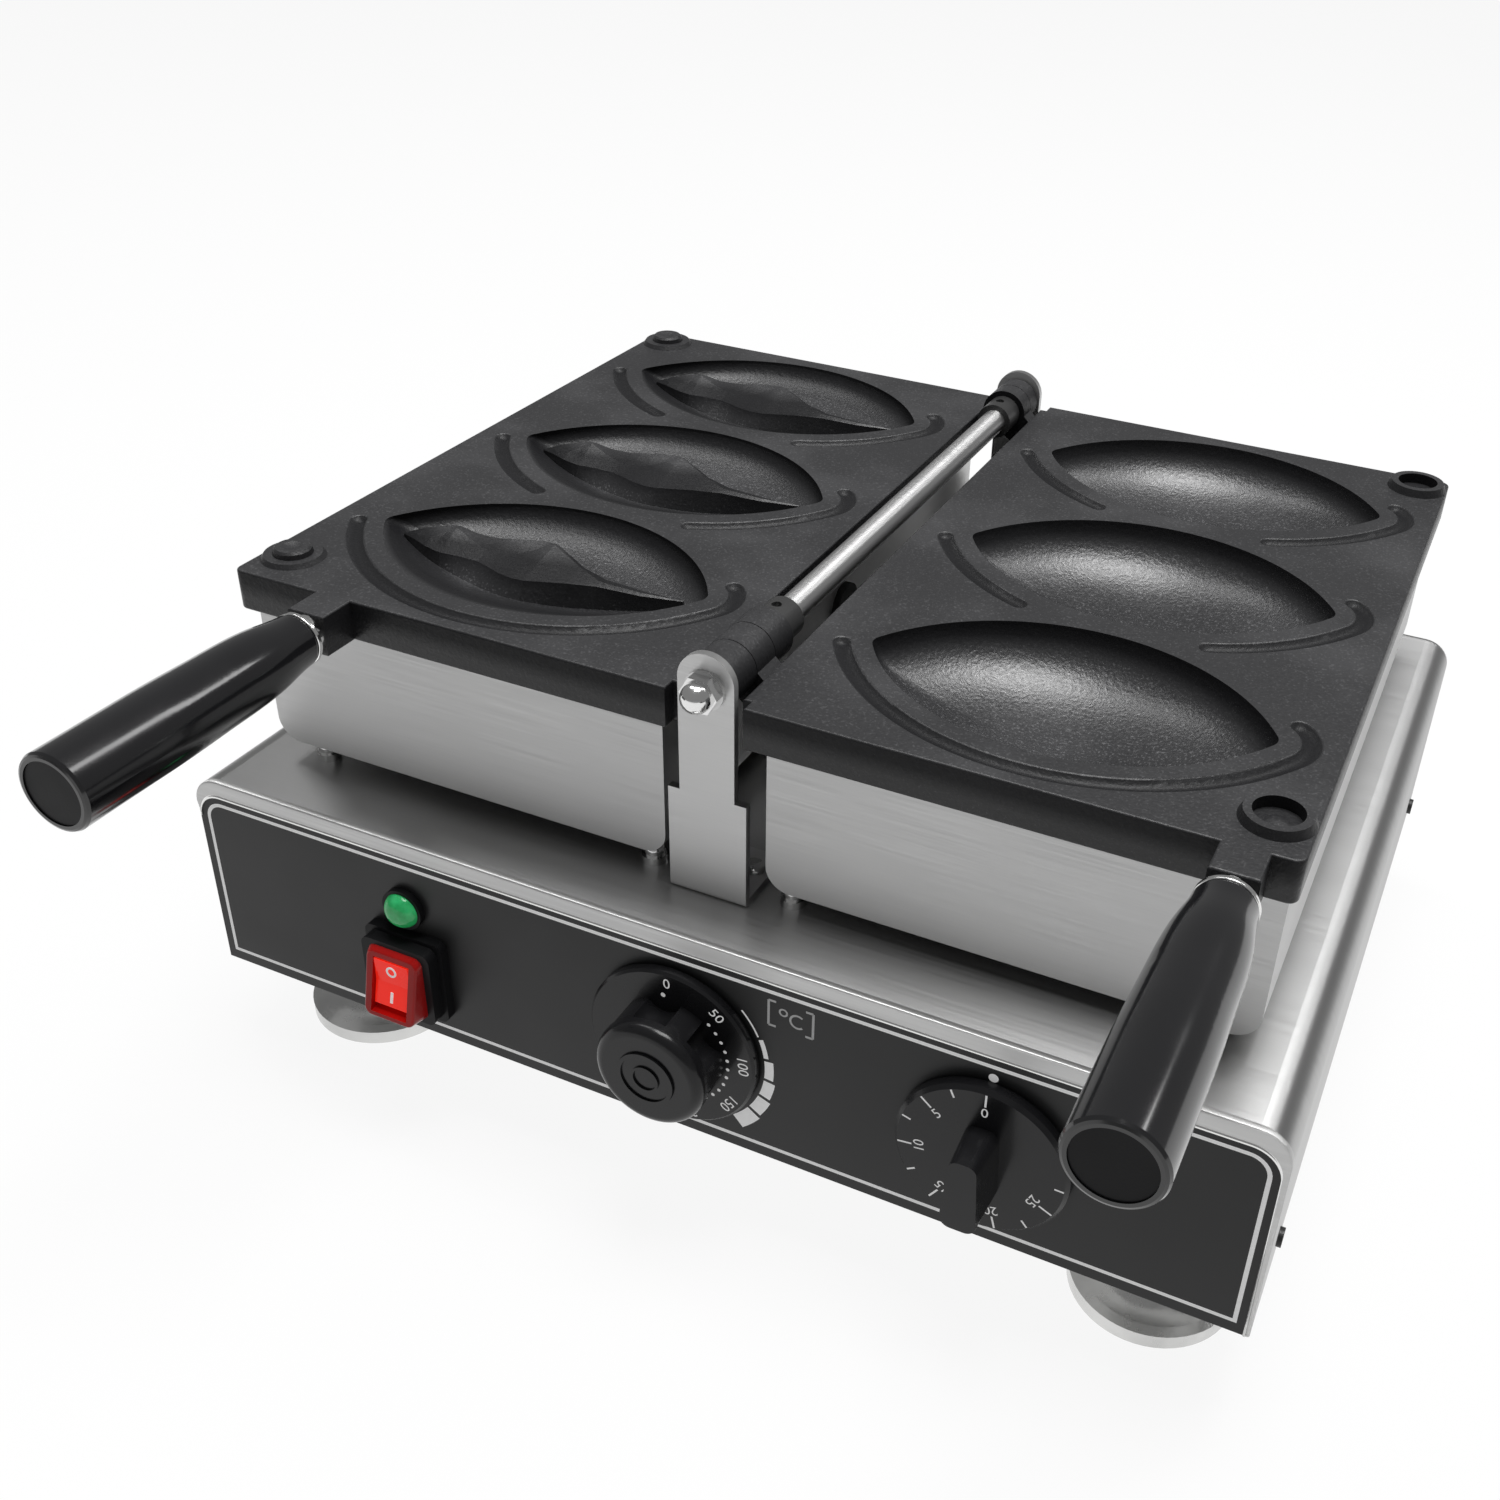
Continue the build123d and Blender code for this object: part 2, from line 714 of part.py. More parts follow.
def locating_socket(x, y):
    """A raised ring on the right plate round a bored socket with a low dome on its floor."""
    ring_top = plate_top + socket_ring_height
    floor = ring_top - socket_depth
    with BuildSketch(Plane.XZ.offset(-y)) as ring:
        with BuildLine():
            Polyline(
                (x, plate_top - 1),
                (x + locator_base_radius, plate_top - 1),
                (x + locator_base_radius, plate_top),
                (x + locator_top_radius, ring_top),
                (x, ring_top),
                close=True,
            )
        make_face()
    revolve(ring.sketch, axis=Axis((x, y, 0), (0, 0, 1)))
    with BuildSketch(Plane.XZ.offset(-y)) as hollow:
        with BuildLine():
            wall = Polyline(
                (x, floor + socket_dome_height),
                (x, ring_top + 1),
                (x + pin_radius + pin_clearance, ring_top + 1),
                (x + pin_radius + pin_clearance, floor),
                (x + pin_dimple_radius, floor),
            )
            TangentArc(wall @ 0, wall @ 1, tangent=(1, 0))
        make_face()
    revolve(hollow.sketch, axis=Axis((x, y, 0), (0, 0, 1)), mode=Mode.SUBTRACT)


for name, sign, handle_x in (
    ("left_mould_plate", -1, left_handle_x),
    ("right_mould_plate", 1, right_handle_x),
):
    with BuildPart() as plate:
        with BuildSketch(at_z(plate_bottom)) as slab:
            with Locations((plate_mid_x, middle_y)):
                Rectangle(plate_width, plate_depth)
            for edge_y, way in ((plate_front, Align.MIN), (plate_back, Align.MAX)):
                with Locations((plate_inner_edge, edge_y)):
                    Rectangle(
                        notch_reach - plate_inner_edge,
                        notch_length,
                        align=(Align.MIN, way),
                        mode=Mode.SUBTRACT,
                    )
            fillet(slab.vertices().group_by(Axis.X)[-1], plate_corner_radius)
            with Locations((handle_x, plate_front + 2)):
                Rectangle(tab_width, tab_reach + 2, align=(Align.CENTER, Align.MAX))
        extrude(amount=plate_thickness)
        rims = plate.edges().filter_by(Plane.XY).group_by(Axis.Z)
        fillet(rims[0] + rims[-1], plate_edge_fillet)
        # Knuckles and the webs that tie them to the plate.
        for start, length in lugs[sign]:
            with BuildSketch(at_y(start)):
                with Locations((0, hinge_z)):
                    Circle(knuckle_radius)
                with BuildLine():
                    Polyline(
                        (plate_inner_edge + 1, plate_top - 0.6),
                        (plate_inner_edge + 1, plate_bottom + 2.5),
                        (plate_inner_edge - 3.5, plate_bottom + 2.5),
                        (0, hinge_z - knuckle_radius),
                        (0, hinge_z),
                        (knuckle_radius - 0.2, hinge_z),
                        close=True,
                    )
                make_face()
            extrude(amount=-length)
        # Hulls of the bowls under the slab, and bosses for the cover bolts.
        for mould_y in mould_ys:
            almond_loft(plate_mid_x, mould_y, bowl_depth + mould_wall, mould_wall, hull_angles, Mode.ADD)
        with BuildSketch(at_z(plate_bottom + 1)):
            with Locations(*[(x, y) for x in boss_xs for y in boss_ys]):
                Circle(boss_radius)
        extrude(amount=pad_bottom - plate_bottom - 1)
        # Moulds, their channels, and the leaf that stands in each left one.
        for index, mould_y in enumerate(mould_ys):
            channel(plate_mid_x, mould_y, index == 0, sign)
            if sign < 0:
                relief_bowl(plate_mid_x, mould_y)
            else:
                almond_loft(plate_mid_x, mould_y, bowl_depth, 0, bowl_angles, Mode.SUBTRACT)
        if sign < 0:
            for mould_y in mould_ys:
                leaf_relief(plate_mid_x, mould_y)
        for locator_y in locator_ys:
            if sign < 0:
                locating_pin(locator_x, locator_y)
            else:
                locating_socket(locator_x, locator_y)
        # Bores: the rod's through the knuckles, the stud's in the tab, the bolts' in the bosses.
        with BuildSketch(at_y(plate_front - 2)):
            with Locations((0, hinge_z)):
                Circle(bore_radius)
        extrude(amount=-(plate_depth + 4), mode=Mode.SUBTRACT)
        with BuildSketch(at_y(plate_front - tab_reach)):
            with Locations((handle_x, handle_z)):
                Circle(stud_diameter / 2 + running_clearance)
        extrude(amount=-stud_in_tab, mode=Mode.SUBTRACT)
        with BuildSketch(at_z(pad_bottom)):
            with Locations(*[(x, y) for x in boss_xs for y in boss_ys]):
                Circle(cover_bolt_diameter / 2 + running_clearance)
        extrude(amount=24, mode=Mode.SUBTRACT)
        keep_side(sign)
    save(plate, name)

# Heater boxes, screwed up against the plates, with what they hold.
heater_radius = heater_diameter / 2
heater_z = plate_bottom - heater_radius - heater_gap
heater_ys = [(mould_ys[0] + mould_ys[1]) / 2, (mould_ys[1] + mould_ys[2]) / 2]
heater_start_x = box_left + 9.0
heater_bend_x = box_right - 14.0
heater_bend = 12.0
clamp_xs = [plate_mid_x - 46.5, plate_mid_x + 46.5]
clamp_width = 6.0
clamp_depth = 5.0
side_bush_z = plate_bottom - 21.5
side_bush_neck = 5.9
side_bush_bore = 3.5
cover_screw_head = 4.0
cover_screw_head_height = 2.4
for name, sign in (("left", -1), ("right", 1)):
    with BuildPart() as heater_box:
        with BuildSketch(at_y(box_front)):
            add(trough(box_left, box_right, box_bottom, plate_bottom, box_radius))
        extrude(amount=-(box_back - box_front))
        with BuildSketch(at_y(box_front + box_sheet)):
            add(
                trough(
                    box_left + box_sheet,
                    box_right - box_sheet,
                    box_bottom + box_sheet,
                    plate_bottom + 5,
                    box_radius - box_sheet,
                )
            )
        extrude(amount=-(box_back - box_front - 2 * box_sheet), mode=Mode.SUBTRACT)
        with BuildSketch(at_z(box_bottom)):
            with Locations(*[(x, y) for x in boss_xs for y in boss_ys]):
                Circle(cover_bolt_diameter / 2 + 0.2)
        extrude(amount=box_sheet, mode=Mode.SUBTRACT)
        with BuildSketch(at_x(box_left)):
            with Locations((middle_y, side_bush_z)):
                Circle(side_bush_neck + 0.1)
        extrude(amount=box_sheet, mode=Mode.SUBTRACT)
        keep_side(sign)
    save(heater_box, f"{name}_heater_box")

    with BuildPart() as box_screws:
        with BuildSketch(at_z(box_bottom - cover_screw_head_height)):
            with Locations(*[(x, y) for x in boss_xs for y in boss_ys]):
                Circle(cover_screw_head)
        extrude(amount=cover_screw_head_height)
        with BuildSketch(at_z(box_bottom - cover_screw_head_height)):
            with Locations(*[(x, y) for x in boss_xs for y in boss_ys]):
                RegularPolygon(1.7, 6)
        extrude(amount=1.4, mode=Mode.SUBTRACT)
        with BuildSketch(at_z(box_bottom)):
            with Locations(*[(x, y) for x in boss_xs for y in boss_ys]):
                Circle(cover_bolt_diameter / 2)
        extrude(amount=18)
        keep_side(sign)
    save(box_screws, f"{name}_box_screws")

    with BuildPart() as box_bush:
        with BuildSketch(at_x(box_left - 2.5)):
            with Locations((middle_y, side_bush_z)):
                Circle(side_bush_neck + 2)
        extrude(amount=2.5)
        with BuildSketch(at_x(box_left)):
            with Locations((middle_y, side_bush_z)):
                Circle(side_bush_neck)
        extrude(amount=box_sheet)
        with BuildSketch(at_x(box_left + box_sheet)):
            with Locations((middle_y, side_bush_z)):
                Circle(side_bush_neck + 2)
        extrude(amount=2.5)
        with BuildSketch(at_x(box_left - 3)):
            with Locations((middle_y, side_bush_z)):
                Circle(side_bush_bore)
        extrude(amount=8, mode=Mode.SUBTRACT)
        keep_side(sign)
    save(box_bush, f"{name}_box_bush")

    with BuildPart() as insulation:
        with BuildSketch(at_y(box_front + box_sheet + 1)):
            add(
                trough(
                    box_left + box_sheet + 1,
                    box_right - box_sheet - 1,
                    pad_bottom,
                    pad_bottom + pad_thickness,
                    box_radius - box_sheet,
                )
            )
        extrude(amount=-(box_back - box_front - 2 * box_sheet - 2))
        with BuildSketch(at_z(pad_bottom)):
            with Locations(*[(x, y) for x in boss_xs for y in boss_ys]):
                Circle(boss_radius + 0.3)
        extrude(amount=pad_thickness, mode=Mode.SUBTRACT)
        keep_side(sign)
    save(insulation, f"{name}_insulation")

    with BuildPart() as heater:
        with BuildLine():
            FilletPolyline(
                (heater_start_x, heater_ys[0], heater_z),
                (heater_bend_x, heater_ys[0], heater_z),
                (heater_bend_x, heater_ys[1], heater_z),
                (heater_start_x, heater_ys[1], heater_z),
                radius=heater_bend,
            )
        with BuildSketch(at_x(heater_start_x)):
            with Locations((heater_ys[0], heater_z)):
                Circle(heater_radius)
        sweep()
        keep_side(sign)
    save(heater, f"{name}_heater")

    with BuildPart() as clamps:
        with BuildSketch(at_z(heater_z - heater_radius - clamp_depth / 2)):
            with Locations(*[(x, middle_y) for x in clamp_xs]):
                Rectangle(clamp_width, heater_ys[1] - heater_ys[0] + 14)
        extrude(amount=clamp_depth)
        with BuildSketch(at_z(heater_z - heater_radius)):
            for way in (-1, 1):
                post_y = middle_y + way * (mould_pitch / 2 - 9)
                with Locations(*[(x, post_y) for x in clamp_xs]):
                    Circle(clamp_width / 2)
        extrude(amount=heater_radius * 2 + heater_gap)
        for heater_y in heater_ys:
            with BuildSketch(at_x(clamp_xs[0] - clamp_width)):
                with Locations((heater_y, heater_z)):
                    Circle(heater_radius + running_clearance)
            extrude(amount=clamp_xs[1] - clamp_xs[0] + 2 * clamp_width, mode=Mode.SUBTRACT)
        keep_side(sign)
    save(clamps, f"{name}_heater_clamps")

    with BuildPart() as terminals:
        for heater_y in heater_ys:
            with BuildSketch(at_x(heater_start_x - 4)):
                with Locations((heater_y, heater_z)):
                    Circle(heater_radius - 0.4)
            extrude(amount=4)
            with BuildSketch(at_x(heater_start_x - 7)):
                with Locations((heater_y, heater_z)):
                    Circle(1.4)
            extrude(amount=4)
        keep_side(sign)
    save(terminals, f"{name}_heater_terminals")

# Bulb of the thermostat, clipped under the left plate in front of the heater.
bulb_radius = 3.0
bulb_length = 64.0
bulb_y = box_front + box_sheet + 5.5
bulb_z = plate_bottom - bulb_radius
with BuildPart() as bulb:
    with BuildSketch(at_x(-plate_mid_x - bulb_length / 2)):
        with Locations((bulb_y, bulb_z)):
            Circle(bulb_radius)
    extrude(amount=bulb_length)
    for along in (-20, 20):
        with BuildSketch(at_x(-plate_mid_x + along - 4)):
            with Locations((bulb_y, plate_bottom)):
                Rectangle(bulb_radius * 2 + 2, bulb_radius * 2 + 1, align=(Align.CENTER, Align.MAX))
        extrude(amount=8)
save(bulb, "thermostat_bulb")

# Handles: a steel stud, a bright ferrule, a plastic grip and its end cap.
tab_front = plate_front - tab_reach
ferrule_front = tab_front - ferrule_length
grip_front = ferrule_front - grip_length
stud_in_grip = 55.0
grip_shoulder = 1.2
grip_bore = stud_diameter / 2 + running_clearance
for name, handle_x in (("left", -left_handle_x), ("right", right_handle_x)):
    with BuildPart() as stud:
        with BuildSketch(at_y(ferrule_front - stud_in_grip)):
            with Locations((handle_x, handle_z)):
                Circle(stud_diameter / 2)
        extrude(amount=-(stud_in_grip + ferrule_length + stud_in_tab - 1))
    save(stud, f"{name}_handle_stud")

    with BuildPart() as ferrule:
        with BuildSketch(at_y(ferrule_front)):
            with Locations((handle_x, handle_z)):
                Circle(grip_inner_radius)
        extrude(amount=-ferrule_collar)
        collar_rims = ferrule.edges().filter_by(GeomType.CIRCLE)
        fillet(collar_rims, 0.4)
        with BuildSketch(at_y(ferrule_front + ferrule_collar / 2)):
            with Locations((handle_x, handle_z)):
                Circle(ferrule_neck_radius)
        extrude(amount=-(ferrule_length - ferrule_collar / 2))
        with BuildSketch(at_y(ferrule_front)):
            with Locations((handle_x, handle_z)):
                Circle(grip_bore)
        extrude(amount=-ferrule_length, mode=Mode.SUBTRACT)
    save(ferrule, f"{name}_ferrule")

    cap_radius = grip_outer_radius - 2.2
    with BuildPart() as grip:
        with BuildSketch(Plane.XY.offset(handle_z)):
            with BuildLine():
                rim = Polyline(
                    (handle_x + grip_bore, ferrule_front - stud_in_grip),
                    (handle_x + grip_bore, ferrule_front),
                    (handle_x + grip_inner_radius - grip_shoulder, ferrule_front),
                )
                shoulder = TangentArc(
                    rim @ 1,
                    (handle_x + grip_inner_radius, ferrule_front - grip_shoulder),
                    tangent=(1, 0),
                )
                flare = Spline(
                    shoulder @ 1,
                    (handle_x + grip_inner_radius + 1.6, ferrule_front - 13),
                    (handle_x + grip_outer_radius - 0.5, ferrule_front - 36),
                    (handle_x + grip_outer_radius, ferrule_front - 60),
                    tangents=((0.06, -1), (0, -1)),
                )
                Polyline(
                    flare @ 1,
                    (handle_x + grip_outer_radius, grip_front + 1.2),
                    (handle_x + grip_outer_radius - 0.5, grip_front + 0.3),
                    (handle_x + grip_outer_radius - 1.2, grip_front),
                    (handle_x + cap_radius, grip_front),
                    (handle_x + cap_radius, grip_front + grip_cap_recess),
                    (handle_x, grip_front + grip_cap_recess),
                    (handle_x, ferrule_front - stud_in_grip),
                    rim @ 0,
                )
            make_face()
        revolve(axis=Axis((handle_x, 0, handle_z), (0, 1, 0)))
    save(grip, f"{name}_grip")

    with BuildPart() as grip_cap:
        with BuildSketch(at_y(grip_front + 0.4)):
            with Locations((handle_x, handle_z)):
                Circle(cap_radius - 0.1)
        extrude(amount=-(grip_cap_recess - 0.4))
    save(grip_cap, f"{name}_grip_cap")

# Rivets through the feet of the posts and the top of the body.
with BuildPart() as post_rivets:
    spots = [(x, y) for x in (-post_foot_x, post_foot_x) for y in post_foot_ys]
    with BuildSketch(at_z(body_top - sheet)):
        with Locations(*spots):
            Circle(post_foot_hole_radius - 0.1)
    extrude(amount=sheet + post_thickness)
    for x, y in spots:
        with Locations((x, y, body_top + post_thickness)):
            Cylinder(3.8, 1.8, align=(Align.CENTER, Align.CENTER, Align.MIN))
        with Locations((x, y, body_top - sheet)):
            Cylinder(3.4, 1.6, align=(Align.CENTER, Align.CENTER, Align.MAX))
    crowns = post_rivets.edges().filter_by(GeomType.CIRCLE).group_by(Axis.Z)[-1]
    fillet(crowns, 1.2)
save(post_rivets, "post_rivets")

# Studs with domed heads that the boxes rest on when the machine lies open.
rest_gap = 0.3
rest_base_height = 2.6
with BuildPart() as rest_studs:
    for x in rest_xs:
        for y in rest_ys:
            with Locations((x, y, body_top)):
                Cylinder(rest_radius, rest_base_height, align=(Align.CENTER, Align.CENTER, Align.MIN))
                Cylinder(
                    rest_radius - 0.8,
                    box_lift - rest_gap,
                    align=(Align.CENTER, Align.CENTER, Align.MIN),
                )
            with Locations((x, y, body_top)):
                Cylinder(rest_hole_radius - 0.1, 4, align=(Align.CENTER, Align.CENTER, Align.MAX))
            with Locations((x, y, body_top - sheet)):
                Cylinder(3.6, 2.8, align=(Align.CENTER, Align.CENTER, Align.MAX))
    tips = rest_studs.edges().filter_by(GeomType.CIRCLE).group_by(Axis.Z)[-1]
    fillet(tips, 1.8)
save(rest_studs, "rest_studs")

# Screws in both sides, two to a side, through the cover into the panels' flanges.
with BuildPart() as side_screws:
    for side in (-1, 1):
        for y in side_screw_ys:
            with BuildSketch(at_x(side * body_width / 2)) as head:
                with Locations((y, side_screw_z)):
                    Circle(3.0)
            extrude(head.sketch, amount=side * 1.5)
            with BuildSketch(at_x(side * body_width / 2)) as shank:
                with Locations((y, side_screw_z)):
                    Circle(side_screw_hole - 0.1)
            extrude(shank.sketch, amount=-side * 4.4)
save(side_screws, "side_screws")

# Feet: flared bells with a rubber ring below and a bolt up through the pan.
bell_wall = 2.5
with BuildPart() as feet:
    with BuildSketch(Plane.XZ):
        with BuildLine():
            skirt = Polyline(
                (foot_bolt_radius + fit_gap, foot_height),
                (foot_hub_radius, foot_height),
                (foot_hub_radius, foot_height - 12),
            )
            bell = Spline(
                skirt @ 1,
                (foot_hub_radius + 3.6, foot_height - 22.5),
                (foot_radius - 3.0, 6.6),
                tangents=((0, -1), (1, -0.16)),
            )
            edge = Polyline(
                bell @ 1,
                (foot_radius, 5.6),
                (foot_radius, 0.6),
                (foot_radius - bell_wall, 0.6),
                (foot_radius - bell_wall, pad_height),
                (foot_radius - 8.5, pad_height),
            )
            inner = Spline(
                edge @ 1,
                (foot_hub_radius, foot_height - 23),
                (foot_hub_radius - 3, foot_height - 14),
                tangents=((-1, 0.4), (0, 1)),
            )
            Polyline(
                inner @ 1,
                (foot_hub_radius - 3, foot_height - 5),
                (foot_bolt_radius + fit_gap, foot_height - 5),
                skirt @ 0,
            )
        make_face()
    revolve(axis=Axis.Z)
    bell_shape = feet.part
    with Locations(*[(x, y, 0) for x in (-foot_x, foot_x) for y in foot_ys]):
        add(bell_shape, mode=Mode.REPLACE)
save(feet, "feet")

with BuildPart() as foot_pads:
    with BuildSketch(at_z(0)):
        with Locations(*[(x, y) for x in (-foot_x, foot_x) for y in foot_ys]):
            Circle(foot_radius - bell_wall - 0.2)
            Circle(foot_radius - 10, mode=Mode.SUBTRACT)
    extrude(amount=pad_height)
save(foot_pads, "foot_pads")

with BuildPart() as foot_bolts:
    for x in (-foot_x, foot_x):
        for y in foot_ys:
            with Locations((x, y, foot_height - 5)):
                Cylinder(5.6, 3.6, align=(Align.CENTER, Align.CENTER, Align.MAX))
                Cylinder(foot_bolt_radius, 13, align=(Align.CENTER, Align.CENTER, Align.MIN))
            with BuildSketch(at_z(body_bottom + sheet)) as nut:
                with Locations((x, y)):
                    RegularPolygon(5.2, 6, major_radius=False)
            extrude(nut.sketch, amount=4.6)
save(foot_bolts, "foot_bolts")

# Thermostat behind the panel, and its dial, grip and cap in front.
shaft_radius = shaft_diameter / 2
shaft_bore = shaft_radius + running_clearance
bush_radius = shaft_hole_radius - 0.2
dial_back_y = front_y - dial_standoff
dial_front_y = dial_back_y - dial_thickness
grip_face_y = front_y - thermostat_reach
for name, x, width, height, depth in (
    ("thermostat_body", thermostat_x, 34, 40, 26),
    ("timer_body", timer_x, 46, 46, 34),
):
    with BuildPart() as control:
        with BuildSketch(at_y(cover_y)):
            with Locations((x, dial_z)):
                RectangleRounded(width, height, 4)
        extrude(amount=-depth)
        with BuildSketch(at_y(front_y - 0.4)):
            with Locations((x, dial_z)):
                Circle(bush_radius)
        extrude(amount=-4)
        with BuildSketch(at_y(front_y - 0.4)):
            with Locations((x, dial_z)):
                Circle(shaft_bore)
        extrude(amount=-16, mode=Mode.SUBTRACT)
        with BuildSketch(at_y(cover_y + depth)):
            with Locations((x - 9, dial_z), (x + 9, dial_z)):
                Rectangle(0.8, 6.3)
        extrude(amount=-8)
    save(control, name)

    with BuildPart() as shaft:
        reach = 11.0 if x == thermostat_x else 13.0
        with BuildSketch(at_y(front_y - reach)):
            with Locations((x, dial_z)):
                Circle(shaft_radius)
        extrude(amount=-(reach + 15))
        with BuildSketch(at_y(front_y - reach)):
            with Locations((x, dial_z + shaft_radius - 1)):
                Rectangle(shaft_diameter, 4, align=(Align.CENTER, Align.MIN))
        extrude(amount=-(reach - dial_standoff - dial_thickness - 0.2), mode=Mode.SUBTRACT)
    save(shaft, name.replace("body", "shaft"))

with BuildPart() as thermostat_dial:
    with BuildSketch(at_y(dial_front_y)):
        with Locations((thermostat_x, dial_z)):
            Circle(dial_radius)
            Circle(shaft_bore, mode=Mode.SUBTRACT)
    extrude(amount=-dial_thickness)
    brim = thermostat_dial.edges().filter_by(GeomType.CIRCLE).sort_by(SortBy.RADIUS)[-2:]
    chamfer(brim.sort_by(Axis.Y)[0], 0.8)
save(thermostat_dial, "thermostat_dial")

flute_count = 6
flute_radius = 6.2
flute_depth = 4.5
flute_start = 35
nose_length = 5.4
nose_fillet = 3.4
cap_ring_radius = 9.6
cap_thickness = 1.0
cap_rim = 1.4
cap_dish = 0.6
cap_mark_radius = 4.6
cap_mark_line = 0.7
with BuildPart() as thermostat_grip:
    with BuildSketch(at_y(dial_front_y)):
        with Locations((thermostat_x, dial_z)):
            Circle(grip_knob_radius)
    extrude(amount=dial_front_y - grip_face_y)
    nose = thermostat_grip.edges().filter_by(GeomType.CIRCLE).group_by(Axis.Y)[0]
    fillet(nose, nose_fillet)
    with BuildSketch(at_y(dial_front_y)):
        with Locations((thermostat_x, dial_z)):
            with PolarLocations(
                grip_knob_radius + flute_radius - flute_depth,
                flute_count,
                flute_start,
            ):
                Circle(flute_radius)
    extrude(amount=dial_front_y - grip_face_y - nose_length, mode=Mode.SUBTRACT)
    with BuildSketch(at_y(grip_face_y)):
        with Locations((thermostat_x, dial_z)):
            Circle(cap_ring_radius)
    extrude(amount=-cap_thickness, mode=Mode.SUBTRACT)
    with BuildSketch(at_y(dial_front_y)):
        with Locations((thermostat_x, dial_z)):
            Circle(shaft_bore)
    extrude(amount=dial_front_y - front_y + 11.5, mode=Mode.SUBTRACT)
save(thermostat_grip, "thermostat_grip")

with BuildPart() as thermostat_cap:
    with BuildSketch(at_y(grip_face_y + cap_thickness)):
        with Locations((thermostat_x, dial_z)):
            Circle(cap_ring_radius - 0.1)
    extrude(amount=cap_thickness + 0.8)
    with BuildSketch(at_y(grip_face_y - 0.8)):
        with Locations((thermostat_x, dial_z)):
            Circle(cap_ring_radius - cap_rim)
            Circle(cap_mark_radius, mode=Mode.SUBTRACT)
            Circle(cap_mark_radius - cap_mark_line)
    extrude(amount=-cap_dish, mode=Mode.SUBTRACT)
save(thermostat_cap, "thermostat_cap")

# Timer dial and its pointer, a bar that narrows towards the front.
timer_dial_thickness = 4.2
timer_front_y = dial_back_y - timer_dial_thickness
pointer_reach = timer_reach + timer_front_y - front_y
with BuildPart() as timer_dial:
    with BuildSketch(at_y(timer_front_y)):
        with Locations((timer_x, dial_z)):
            Circle(timer_dial_radius)
            Circle(shaft_bore, mode=Mode.SUBTRACT)
    extrude(amount=-timer_dial_thickness)
    brim = timer_dial.edges().filter_by(GeomType.CIRCLE).sort_by(SortBy.RADIUS)[-2:]
    chamfer(brim.sort_by(Axis.Y)[0], 1.2)
save(timer_dial, "timer_dial")

with BuildPart() as timer_pointer:
    for y, top, bottom, half_height in (
        (timer_front_y, 10.0, 13.0, 12.6),
        (timer_front_y - pointer_reach, 8.0, 11.4, 12.8),
    ):
        with BuildSketch(at_y(y)) as slice_here:
            with BuildLine():
                Polyline(
                    (timer_x - bottom / 2, dial_z - half_height),
                    (timer_x + bottom / 2, dial_z - half_height),
                    (timer_x + top / 2, dial_z + half_height),
                    (timer_x - top / 2, dial_z + half_height),
                    close=True,
                )
            make_face()
            fillet(slice_here.vertices().group_by(Axis.Y)[-1], top * 0.36)
            fillet(slice_here.vertices().group_by(Axis.Y)[0], bottom * 0.3)
    loft(ruled=True)
    with BuildSketch(at_y(timer_front_y)):
        with Locations((timer_x, dial_z)):
            Circle(shaft_bore)
    extrude(amount=front_y - timer_front_y + 9, mode=Mode.SUBTRACT)
save(timer_pointer, "timer_pointer")

# Switch: a stepped body through the panel, a red frame and the rocker inside it.
frame_width = 21.0
frame_height = 25.4
frame_narrowing = 1.6
frame_tilt = 13.5
frame_reach = 4.6
well_width = 14.0
well_height = 19.4
well_depth = 14.0
switch_rim = 3.5
switch_front_y = front_y - 8.0
pivot_y = front_y - 5.0
pivot_radius = 1.5
pivot_reach = 2.4
with BuildPart() as switch_body:
    with BuildSketch(at_y(front_y)):
        with Locations((switch_x, switch_z)):
            RectangleRounded(30, 32, 3)
    extrude(amount=switch_rim)
    with BuildSketch(at_y(front_y - switch_rim)):
        with Locations((switch_x, switch_z)):
            RectangleRounded(26.4, 29, 3)
    extrude(amount=front_y - switch_rim - switch_front_y)
    with BuildSketch(at_y(front_y)):
        with Locations((switch_x, switch_z)):
            Rectangle(switch_hole_width - 0.4, switch_hole_height - 0.4)
    extrude(amount=-24)
    with BuildSketch(at_y(front_y + 24)):
        with Locations((switch_x - 5, switch_z), (switch_x + 5, switch_z)):
            with GridLocations(0, 14, 1, 2):
                Rectangle(6.3, 0.8)
    extrude(amount=-8)
    with BuildSketch(at_y(switch_front_y)):
        with Locations((switch_x, switch_z)):
            Rectangle(well_width, well_height)
    extrude(amount=-well_depth, mode=Mode.SUBTRACT)
    with BuildSketch(at_x(switch_x - well_width / 2 - pivot_reach - 0.1)):
        with Locations((pivot_y, switch_z)):
            Circle(pivot_radius + running_clearance)
    extrude(amount=well_width + 2 * pivot_reach + 0.2, mode=Mode.SUBTRACT)
save(switch_body, "switch_body")

with BuildPart() as switch_frame:
    with BuildSketch(at_y(switch_front_y)):
        with Locations((switch_x, switch_z)):
            RectangleRounded(frame_width, frame_height, 3)
    slant = Plane(
        origin=(switch_x, switch_front_y - frame_reach, switch_z),
        x_dir=(1, 0, 0),
        z_dir=(0, -math.cos(math.radians(frame_tilt)), math.sin(math.radians(frame_tilt))),
    )
    with BuildSketch(slant):
        RectangleRounded(frame_width - frame_narrowing, frame_height - frame_narrowing, 3)
    loft()
    rim = switch_frame.faces().sort_by(Axis.Y)[0].outer_wire().edges()
    fillet(rim, 0.8)
    with BuildSketch(at_y(switch_front_y)):
        with Locations((switch_x, switch_z)):
            Rectangle(well_width, well_height)
    extrude(amount=3 * frame_reach, mode=Mode.SUBTRACT)
save(switch_frame, "switch_frame")

